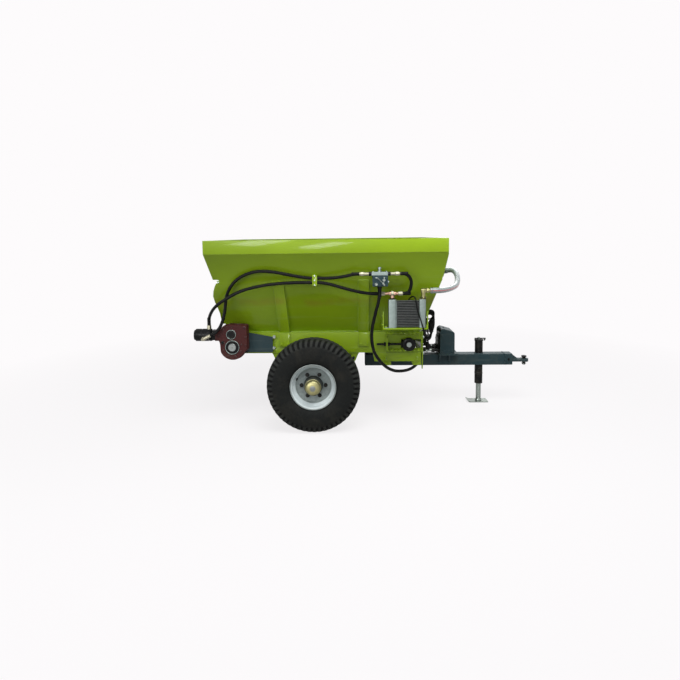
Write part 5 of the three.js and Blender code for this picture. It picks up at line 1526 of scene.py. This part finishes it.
class SPREADER_OT_jack(bpy.types.Operator):
    """Parking jack: tube with its collar and pins, grooved leg, foot and crank."""

    bl_idname = "spreader.jack"
    bl_label = "Parking jack"

    def execute(self, context):
        foot = np.array([JACK.mid[0], 0, 0])
        tube = lathe([(0.0295, 0.2), (0.0395, 0.1985), (0.0415, 0.2005), (0.0415, 0.3),
                      (0.0428, 0.301), (0.0428, 0.318), (0.0415, 0.319), (0.0415, 0.4065),
                      (0.0415, 0.5275), (0.0415, 0.6585), (0.0455, 0.66), (0.046, 0.662),
                      (0.046, 0.672), (0.044, 0.674), (0.0, 0.674), (0.0, 0.652),
                      (0.0295, 0.652)], foot, segments=48)
        make("jack_tube_finished", tube, "black_paint", replaces=("jack_tube",))
        nipple = lathe([(0.0055, 0), (0.0055, 0.005), (0.003, 0.007), (0.0042, 0.011), (0.002, 0.013)],
                       segments=10).copies(foot + [0.012, -0.0398, 0.6], (0.29, -0.96, 0))
        pins = hex_head(0.017, 0.01).copies([foot + [0.0, -0.041, z] for z in (0.56, 0.37)], OUT)
        make("jack_pins", nipple + pins, "black_paint")
        steps = np.arange(2, 21) * GROOVE_PITCH
        groove = np.stack([steps - 0.0016, steps, steps + 0.0016], 1).ravel()
        groove = np.stack([np.tile([0.0265, 0.0252, 0.0265], len(steps)), groove], 1)
        leg = lathe(np.vstack([[(0.0265, 0.009)], groove, [(0.0265, 0.478), (0.0245, 0.48)]]), foot,
                    segments=40)
        plate = np.array([(-0.128, 0.02), (-0.12, 0.02), (-0.09, 0.0095), (0.085, 0.0095),
                          (0.092, 0.012), (0.092, 0.002), (0.088, 0.0), (-0.1, 0.0),
                          (-0.112, 0.004)])
        sole = prism(plate + [AXLE_X + 1.718, 0], -0.062, 0.062)
        cuff = lathe([(0.034, 0.009), (0.034, 0.02), (0.0275, 0.03), (0.0255, 0.03),
                      (0.0255, 0.009)], foot, segments=32, loop=True)
        make("jack_leg_finished", leg + cuff, "zinc_plate", "jack_leg", replaces=("jack_leg",))
        make("jack_foot", sole, "zinc_plate", "jack_leg", edge=0.0012)
        strap = block(1.674, 1.79, -0.011, 0.011, 0.68, 0.688)
        ears = (block(1.674, 1.682, -0.011, 0.011, 0.655, 0.683)
                + block(1.772, 1.779, -0.011, 0.011, 0.66, 0.683))
        make("jack_crank", strap + ears, "black_paint", edge=0.0015, replaces=("jack_handle",))
        spindle = rod(foot + [0, 0, 0.6742], foot + [0, 0, 0.6805], 0.018, 20, 0.001)
        knob = rod(foot + [0.062, 0, 0.664], foot + [0.062, 0, 0.6799], 0.01, 14, 0.002)
        nut = hex_head(0.024, 0.009).copies(foot + [0, 0, 0.6878])
        make("jack_crank_fittings", spindle + knob + nut, "zinc_plate")
        return {"FINISHED"}


# ---------------- pump
class SPREADER_OT_pump(bpy.types.Operator):
    """Pump and its step-up gearbox under the hood, ribbed rear head, ports and shaft stub."""

    bl_idname = "spreader.pump"
    bl_label = "Pump"

    def execute(self, context):
        softened("pump_base", "slate_paint", edge=0.002)
        softened("pump_hood", "slate_paint", edge=0.002, steps=3)
        case = prism(oblong(-0.1, 0.1, 0.5462, 0.76, 0.03, 6), AXLE_X + 1.29, AXLE_X + 1.42, "X")
        make("pump_gearbox", case, "black_paint", edge=0.006, steps=3, replaces=("pump",))
        shaft, middle = 0.68, 0.655  # heights of the shaft and of the rear head's middle
        along = np.arange(3)[:, None] * 0.0065 + [1.272, 1.2752, 1.2753, 1.2784]
        ribs = np.column_stack([np.tile([0.088, 0.088, 0.078, 0.078], 3), along.ravel()])
        head = lathe(np.vstack([[(0.05, 1.268), (0.082, 1.2685), (0.084, 1.27)], ribs,
                                [(0.086, 1.2915)]]), at(0, 0, middle), AHEAD, 48)
        stub = rods("X", (1.415, 1.442, 0, shaft, 0.0175, 24, 0.002))
        seal = lathe([(0.03, 1.418), (0.03, 1.426), (0.022, 1.4275), (0.0185, 1.4275)],
                     at(0, 0, shaft), AHEAD, 32)
        make("pump_head", head + seal, "black_paint", crease=30)
        spline = rods("X", *((1.43, 1.4415, y, z, 0.0025, 6)
                             for _, y, z in around((0, 0, shaft), 0.0172, shares(6), "X")))
        make("pump_stub", stub + spline, "bare_steel")
        bolts = hex_head(0.014, 0.004).copies(
            around(at(1.2685, 0, middle), 0.068, shares(8, math.radians(22.5)), "X"), BACK)
        corner = hex_head(0.016, 0.009).copies(spots(1.42, (-0.08, 0.08), (0.57, 0.74)), AHEAD)
        make("pump_bolts", bolts + corner, "black_paint")
        y, z = -0.07, 0.575  # the pressure port
        adapter = (rods("X", (1.162, 1.202, y, z, 0.0155, 20, 0.001))
                   + hexes("X", (1.1403, 1.164, y, z, 0.036)))
        make("pump_adapter", adapter, "zinc_plate")
        ports = (hexes("X", (1.2, 1.236, y, z, 0.038), (1.2263, 1.2485, 0, 0.6, 0.048))
                 + rods("X", (1.235, 1.2899, y, z, 0.0175, 20, 0.001),
                        (1.205, 1.27, 0, 0.6, 0.018, 24, 0.001)))
        make("pump_ports", ports, "black_paint")
        self.hood()
        return {"FINISHED"}

    def hood(self):
        """Bolts, hinge tabs and folded feet of the hood."""
        x, y = HOOD.low[0] - AXLE_X, HOOD.low[1]
        bolts = [at(x + 0.02, y, 0.565), at(x + 0.132, y, 0.565), at(x + 0.02, y, 0.74)]
        heads = hex_head(0.017, 0.009).copies(bolts, OUT)
        foot = hex_head(0.017, 0.01).copies(spots((1.31, 1.423), -0.113, 0.5456))
        make("hood_bolts", both(heads + foot), "slate_paint")
        strips = block(1.287, 1.437, y - 0.003, y - 0.0003, 0.546, 0.584)
        grip = filleted([at(1.34, -0.03, 0.806), at(1.34, -0.03, 0.8085), at(1.34, 0.03, 0.8085),
                         at(1.34, 0.03, 0.806)], 0.004, 4)
        make("hood_foot_strips", both(strips), "slate_paint", edge=0.001)
        make("hood_ridge", sweep(grip, circle(0.003, 8), AHEAD), "slate_paint")


# ---------------- oil tank and cooler
class SPREADER_OT_tank(bpy.types.Operator):
    """Oil tank at the hopper's front: filler, sight glass, straps and ports."""

    bl_idname = "spreader.tank"
    bl_label = "Oil tank"

    def execute(self, context):
        softened("oil_tank", "slate_paint", edge=0.007, steps=3)
        lean = (1.2 - 1.027) / (KNEE - WALL_FOOT)

        def face(z, out=0.098):
            """How far ahead of the axle the tank's sloping front lies."""
            return 1.027 + (z - WALL_FOOT) * lean + out

        cap = np.array([AXLE_X + 1.25, 0.33, 0])
        lid = lathe([(0.0395, 1.4165), (0.0412, 1.418), (0.0412, 1.433), (0.039, 1.436),
                     (0.02, 1.4372), (0.0, 1.4375)], cap, segments=40)
        grips = lathe([(0.0016, 0), (0.0016, 0.014)], segments=5).copies(
            around(cap + [0, 0, 1.4185], 0.0412, shares(24), "Z"))
        make("tank_cap", lid + grips, "black_paint", crease=30)
        neck = lathe([(0.036, 1.3925), (0.036, 1.4), (0.0285, 1.402), (0.0285, 1.3925)], cap,
                     segments=36, loop=True)
        nuts = hex_head(0.01, 0.005).copies(
            around(cap + [0, 0, 1.4], 0.032, np.array([0.3, 1.87, 3.44, 5.01]), "Z"))
        make("tank_neck_ring", neck + nuts, "zinc_plate")
        foot, top = (at(face(z), 0.4, z) for z in (1.08, 1.25))
        ahead = unit([1, 0, -lean])
        rim = filleted([foot + [0.004, -0.013, 0], foot + [0.004, 0.013, 0],
                        top + [0.004, 0.013, 0], top + [0.004, -0.013, 0]], 0.012, 6, closed=True)
        make("tank_sight_glass", sweep(rim, circle(0.004, 8), ahead, loop=True), "zinc_plate")
        screws = hex_head(0.012, 0.007).copies([foot + [0.003, 0, 0], top + [0.003, 0, 0]], ahead)
        make("tank_sight_glass_bolts", screws, "zinc_plate")
        straps = sum(sweep(np.linspace(at(face(z, 0.1), -0.082, z), at(face(z, 0.1), 0.452, z), 8),
                           strip(0.015, 0.0012), np.cross(LEFTWARD, (lean, 0, 1)))
                     for z in (1.12, 1.3))
        make("tank_straps", straps, "black_paint")
        unions = (hex_between(at(1.338, -0.095, 1.416), at(1.3215, -0.0804, 1.41), 0.052)
                  + hexes("Z", (0.985, 1.004, 1.135, 0, 0.052)))
        make("tank_unions", unions, "zinc_plate")
        return {"FINISHED"}


FOLD_PITCH = 0.0052  # between two folds of the cooler's fins


class SPREADER_OT_cooler(bpy.types.Operator):
    """Oil cooler: two end tanks, flat tubes with folded fins between, fan behind and bracket."""

    bl_idname = "spreader.cooler"
    bl_label = "Oil cooler"

    def execute(self, context):
        x0, near, far, foot, top = 0.698, -0.77, -0.705, 0.936, 1.203
        tanks = sum(prism(oblong(AXLE_X + a, AXLE_X + b, near, far, 0.014), foot, top, "Z")
                    for a, b in ((x0, x0 + 0.074), (0.982, 1.043)))
        make("cooler_tanks", tanks, "bare_aluminium", edge=0.005, steps=3, replaces=("oil_cooler",))
        seams = sum(bead([at(x, near - 0.0008, foot + 0.012), at(x, near - 0.0008, top - 0.012)],
                         0.0028, 0.01) for x in (x0 + 0.074, 0.982))
        ports = rods("Z", (top - 0.002, top + 0.014, 0.735, -0.745, 0.02, 28, 0.002),
                     (top - 0.002, top + 0.008, 1.022, -0.7375, 0.022, 28, 0.002))
        make("cooler_seams", seams, "bare_aluminium")
        make("cooler_ports", ports, "black_paint")
        self.core(x0 + 0.072, 0.984, near + 0.009, far - 0.005, foot + 0.004, top - 0.006)
        self.fan(0.87, 1.066, far)
        softened("cooler_bracket", "green_paint")
        side = hex_head(0.015, 0.008).copies(spots(0.645, near + 0.004, (0.97, 1.05)), BACK)
        lugs = block(0.662, 0.7, near + 0.012, far - 0.012, foot - 0.0003, foot + 0.006)
        lugs = lugs + block(1.041, 1.05, near + 0.012, far - 0.012, foot - 0.0003, foot + 0.006)
        make("cooler_lugs", lugs, "bare_aluminium", edge=0.001)
        under = nut_and_stud(0.017, 0.009).copies(at(0.675, -0.7375, foot + 0.006))
        make("cooler_bolts", side + under, "green_paint")
        return {"FINISHED"}

    def core(self, x0, x1, near, far, foot, top):
        """Flat tubes from tank to tank and, between each two, one strip folded to and fro: its
        height is a triangle wave along the cooler."""
        number = sizes().fins
        pitch = (top - foot) / number
        levels = foot + pitch * (np.arange(number) + 0.5)
        tube = prism(oblong(near, far, -0.002, 0.002, 0.0018, 3), AXLE_X + x0, AXLE_X + x1, "X")
        make("cooler_tubes", tube.copies(np.outer(levels, (0, 0, 1))), "bare_steel")
        folds = int((x1 - x0) / FOLD_PITCH)
        x = AXLE_X + np.linspace(x0, x1, 2 * folds + 1)
        lift = np.where(np.arange(2 * folds + 1) % 2, 1, -1) * (pitch / 2 - 0.0022)
        line = np.stack([x, np.zeros_like(x), lift], 1)
        folded = np.stack([line + [0, near + 0.0035, -0.00012], line + [0, far - 0.0035, -0.00012],
                           line + [0, far - 0.0035, 0.00012], line + [0, near + 0.0035, 0.00012]], 1)
        between = np.outer(levels[:-1] + pitch / 2, (0, 0, 1))
        make("cooler_fins", surface(folded).copies(between), "black_paint", crease=20)

    def fan(self, x, z, far):
        """Shroud ring with its grille, seven twisted blades and the motor on three arms."""
        middle = at(x, 0, z)
        shroud = lathe([(0.112, far + GAP), (0.112, far + 0.022), (0.109, far + 0.026),
                        (0.106, far + 0.022), (0.105, far + GAP)], middle, LEFTWARD, 64, loop=True)
        blades = []
        radius, turn = np.linspace(0.03, 0.1, 8)[:, None], np.linspace(-0.36, 0.36, 7)
        for start in shares(7):
            a = start + turn + 0.25 * (radius - 0.03) / 0.07
            y = far + 0.011 + 0.011 * turn / 0.36 + 0 * radius
            sheet = np.stack([middle[0] + radius * np.cos(a), y, z + radius * np.sin(a)], -1)
            back = sheet[:, ::-1] + [0, 0.0012, 0]
            blades.append(surface(np.concatenate([sheet, back], 1)))
        hub, rim = (around(at(x, far + 0.0235, z), r, shares(3, 0.6)) for r in (0.03, 0.11))
        arms = sum(rod(inner, outer, 0.004, 8) for inner, outer in zip(hub, rim))
        rings = sum(sweep(around(at(x, far + 0.0245, z), r, shares(48)), circle(0.0014, 5), LEFTWARD,
                          loop=True) for r in (0.055, 0.068, 0.081, 0.094))
        make("fan_shroud", shroud + arms + rings, "black_paint", replaces=("cooler_fan",))
        make("fan_blades", sum(blades), "black_paint")
        motor = lathe([(0.02, far + 0.018), (0.043, far + 0.0185), (0.044, far + 0.021),
                       (0.044, far + 0.052), (0.04, far + 0.0565), (0.016, far + 0.0575),
                       (0.014, far + 0.0618), (0.0, far + 0.062)], middle, LEFTWARD, 40)
        gland = lathe([(0.012, 0), (0.012, 0.03), (0.0085, 0.036), (0.0085, 0.0635)],
                      at(x + 0.015, -0.661, 1.0665), segments=12)
        make("fan_motor", motor + gland, "black_paint")


# ---------------- valve and fittings
class SPREADER_OT_valve(bpy.types.Operator):
    """Flow valve: block, head, dial, lever, port adapters and plugs; then tee, elbow and clip."""

    bl_idname = "spreader.valve"
    bl_label = "Valve and fittings"

    def execute(self, context):
        x, y, port = 0.615, -0.815, 1.447
        body = block(0.55, 0.688, y - 0.042, y + 0.034, 1.334, 1.4315)
        cover = block(0.562, 0.676, y - 0.046, y - 0.0425, 1.342, 1.42)
        make("flow_valve_block", body + cover, "slate_paint", edge=0.004, steps=3,
             replaces=("flow_valve",))
        head = block(0.541, 0.69, y - 0.024, y + 0.024, 1.432, 1.4645)
        make("flow_valve_head", head, "bare_aluminium", edge=0.003)
        foot = block(0.59, 0.646, y + 0.032, y + 0.07, 1.35, 1.41)
        dial = lathe([(0.02, 1.4645), (0.02, 1.474), (0.0125, 1.476), (0.0125, 1.489), (0.016, 1.4905),
                      (0.016, 1.505), (0.014, 1.508), (0.0, 1.508)], at(x, y, 0), segments=24)
        make("flow_valve_foot", foot, "black_paint")
        make("flow_valve_dial", dial, "bare_aluminium")
        lever = filleted([at(0.59, y - 0.049, 1.418), at(0.602, y - 0.05, 1.405),
                          at(0.645, y - 0.05, 1.362)], 0.01, 5)
        plate = sweep(lever, strip(0.0015, 0.0075), (0, 1, 0.01))
        pivot = rods("Y", (y - 0.047, y - 0.062, 0.645, 1.362, 0.009, 14, 0.002))
        make("flow_valve_lever", plate + pivot, "zinc_plate")
        plugs = hex_head(0.02, 0.012).copies([at(0.652, y - 0.046, 1.392),
                                              at(0.582, y - 0.046, 1.355)], OUT)
        plugs = plugs + rods("X", (0.687, 0.7, y, 1.372, 0.013, 18, 0.002))
        make("flow_valve_plugs", plugs, "zinc_plate")
        face = y - 0.0455
        bolts = hex_head(0.011, 0.006).copies([at(0.582, face, 1.414), at(0.654, face, 1.414),
                                               at(0.654, face, 1.349)], OUT)
        lift = spots((0.556, 0.675), (y - 0.013, y + 0.013), 1.4645)
        make("flow_valve_bolts", bolts + hex_head(0.012, 0.007).copies(lift), "zinc_plate")
        pale = (rods("X", (0.4303, 0.52, y, port, 0.0145, 20, 0.001),
                     (0.71, 0.7997, y, port, 0.0145, 20, 0.001))
                + hexes("X", (0.44, 0.472, y, port, 0.034), (0.757, 0.789, y, port, 0.034)))
        dark = (hexes("X", (0.516, 0.5412, y, port, 0.037), (0.6898, 0.714, y, port, 0.037))
                + hexes("Z", (1.3062, 1.335, x, y + 0.008, 0.036)))
        make("flow_valve_adapters", pale, "pale_fitting", crease=30)
        make("flow_valve_nuts", dark, "black_paint", crease=30)
        self.fittings()
        return {"FINISHED"}

    def fittings(self):
        """Tee over the cooler's rear tank, elbow over its front tank, and the hoses' clip."""
        x, y, z = 0.735, -0.745, 1.258
        run = lathe([(0.0125, 0.665), (0.0125, 0.7), (0.0195, 0.704), (0.0195, 0.766), (0.0125, 0.77),
                     (0.0125, 0.79)], at(0, y, z), AHEAD, 28)
        drop = lathe([(0.0185, 1.2175), (0.0185, 1.232), (0.0145, 1.236), (0.0145, z)],
                     at(x, y, 0), segments=28)
        make("tee_body", run + drop, "copper_fitting", replaces=("tee_fitting",))
        unions = hexes("X", (0.612, 0.668, y, z, 0.034), (0.788, 0.8317, y, z, 0.034),
                       (x - 0.0135, x + 0.0135, y, z, 0.043))
        make("tee_unions", unions, "pale_fitting", crease=30)
        x, y, z = 1.022, -0.7375, 1.282
        riser = lathe([(0.0255, 1.2117), (0.0255, 1.222), (0.017, 1.227), (0.017, 1.25),
                       (0.021, 1.262), (0.021, z)], at(x, y, 0), segments=28)
        run = lathe([(0.016, 1.0), (0.0205, 1.003), (0.0205, 1.046), (0.0175, 1.05),
                     (0.0175, 1.0855)], at(0, y, z), AHEAD, 28)
        make("cooler_elbow_body", riser + run + ball(at(x, y, z), 0.0215, 20), "brass_fitting",
             replaces=("cooler_elbow",))
        nut = hexes("Z", (1.2117, 1.2245, x, y, 0.049))
        make("cooler_elbow_nut", nut, "black_paint", crease=30)
        union = hexes("X", (1.052, 1.072, y, z, 0.04))
        make("cooler_elbow_union", union, "brass_fitting", crease=30)
        softened("hose_clip", "green_paint", edge=0.002)
        heads = hex_head(0.012, 0.006).copies(spots(0.02, -0.7943, (1.39, 1.348, 1.432)), OUT)
        make("hose_clip_bolts", heads, "zinc_plate")


# ---------------- studio
FLOOR_LIT = 0.2  # share of the floor's look that takes light and shadow, near the machine
FLOOR_RADIUS, FLOOR_DROP = 60, -0.0006
SKY_TINT = (0.94, 0.97, 1)
MACHINE_MIDDLE = (0, 0, 0.9)  # what the soft lamps are turned to
# The soft lamps: name, place and size. The gloss lamps: name, station and width.
LAMPS = (("key", (0.5, -2.5, 4.8), (4.0, 3.0)), ("fill", (-3.5, -4.0, 2.5), (2.0, 2.0)),
         ("rear", (1.5, 3.5, 3.5), (2.5, 2.5)))
STRIPS = (("strip_rear", -3.6, 1.3), ("strip_front", -0.9, 0.9))
STRIP_TALL = 1.5


class SPREADER_OT_studio(bpy.types.Operator):
    """Pale floor and backdrop of one colour, a large soft lamp above, two weak ones and two
    that show only in gloss."""

    bl_idname = "spreader.studio"
    bl_label = "Studio"

    def execute(self, context):
        scene = context.scene
        stage = scene.spreader_stage
        pale = tuple(colours().floor)
        rim = around((0, 0, FLOOR_DROP), FLOOR_RADIUS, shares(96), "Z")
        mesh = bpy.data.meshes.new("studio_floor")
        mesh.from_pydata(rim.tolist(), [], [list(range(len(rim)))])
        mesh.materials.append(bpy.data.materials.new("studio_floor"))
        self.ground(Graph(mesh.materials[0]), pale)
        floor = bpy.data.objects.new("studio_floor", mesh)
        scene.collection.objects.link(floor)
        floor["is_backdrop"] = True
        for name, place, size in LAMPS:
            self.lamp(scene, name, place, MACHINE_MIDDLE, size, getattr(stage, name))
        for name, x, wide in STRIPS:
            lamp = self.lamp(scene, name, (x, -6.4, 1.8), (0.5 * x, 0, 1.7), (wide, STRIP_TALL),
                             stage.strips * wide * STRIP_TALL)
            lamp.visible_diffuse = False
        scene.world = bpy.data.worlds.new("studio_sky")
        g = Graph(scene.world)
        sky = g.add("Background", {"Color": SKY_TINT, "Strength": stage.sky})
        backdrop = g.add("Background", {"Color": pale})
        g.add("OutputWorld", {"Surface": g.add("MixShader", {0: self.seen(g), 1: sky, 2: backdrop})})
        scene.view_settings.view_transform = "Standard"
        return {"FINISHED"}

    def seen(self, g):
        """1 for rays from the camera, off gloss and through glass: the largest of the three."""
        camera, gloss, glass = (g.add("LightPath", output=f"Is {kind} Ray")
                                for kind in ("Camera", "Glossy", "Transmission"))
        return g.math("MAXIMUM", g.math("MAXIMUM", camera, gloss), glass)

    def ground(self, g, pale):
        """Floor: grey to light that bounces; to the camera part glow and part lit surface, so
        that it shows the machine's shadow, fading to all glow away from the machine."""
        place = g.place()
        away = g.add("VectorMath", {0: place}, "Value", operation="LENGTH")
        share = g.span(away, 2.2, 5.5, FLOOR_LIT, 0.0)
        speck = g.noise(place, 40, 3)
        tone = g.mix(g.span(speck, 0.3, 0.7), toned(pale, 0.8), toned(pale, 0.82))
        lit = g.add("BsdfDiffuse", {"Color": tone})
        glow = g.add("Emission", {"Color": pale})
        shown = g.add("MixShader", {0: share, 1: glow, 2: lit})
        bounce = g.add("BsdfDiffuse", {"Color": (0.25, 0.25, 0.25)})
        out = g.add("MixShader", {0: self.seen(g), 1: bounce, 2: shown})
        g.add("OutputMaterial", {"Surface": out})

    def lamp(self, scene, name, place, target, size, power):
        """A rectangular lamp at a place, turned to its target."""
        data = bpy.data.lights.new(name, "AREA")
        data.shape, data.size, data.size_y, data.energy = "RECTANGLE", *size, power
        lamp = bpy.data.objects.new(name, data)
        back = unit(np.subtract(place, target))
        across = unit(np.cross((0, 0, 1), back))
        lamp.matrix_world = turned(across, np.cross(back, across), back, place)
        scene.collection.objects.link(lamp)
        return lamp


# ---------------- panel and start
OPERATORS = (SPREADER_OT_camera, SPREADER_OT_hoses, SPREADER_OT_fan_lead, SPREADER_OT_hopper,
             SPREADER_OT_frame, SPREADER_OT_wheels, SPREADER_OT_belt, SPREADER_OT_belt_drive,
             SPREADER_OT_beater, SPREADER_OT_drawbar, SPREADER_OT_jack, SPREADER_OT_pump,
             SPREADER_OT_tank, SPREADER_OT_cooler, SPREADER_OT_valve, SPREADER_OT_studio)


class SPREADER_PT_builders(bpy.types.Panel):
    """The builders, in the order in which they run, and their sizes."""

    bl_label = "Fertilizer spreader"
    bl_idname = "SPREADER_PT_builders"
    bl_space_type = "VIEW_3D"
    bl_region_type = "UI"
    bl_category = "Spreader"

    def draw(self, context):
        column = self.layout.column()
        for operator in OPERATORS:
            column.operator(operator.bl_idname)
        for group in (context.scene.spreader_sizes, context.scene.spreader_colours,
                      context.scene.spreader_stage):
            for name in group.__annotations__:
                column.prop(group, name)


GROUPS = (SpreaderColours, SpreaderSizes, SpreaderStage)


def register():
    """Tell Blender of the groups of settings, the builders and the panel."""
    for cls in (*GROUPS, *OPERATORS, SPREADER_PT_builders):
        bpy.utils.register_class(cls)
    bpy.types.Scene.spreader_colours = PointerProperty(type=SpreaderColours)
    bpy.types.Scene.spreader_sizes = PointerProperty(type=SpreaderSizes)
    bpy.types.Scene.spreader_stage = PointerProperty(type=SpreaderStage)


def unregister():
    """Take all of it out again."""
    del bpy.types.Scene.spreader_stage
    del bpy.types.Scene.spreader_sizes
    del bpy.types.Scene.spreader_colours
    for cls in reversed((*GROUPS, *OPERATORS, SPREADER_PT_builders)):
        bpy.utils.unregister_class(cls)


def main():
    """Build all pieces in order."""
    register()
    for operator in OPERATORS:
        group, name = operator.bl_idname.split(".")
        getattr(getattr(bpy.ops, group), name)()


if __name__ == "__main__":
    main()
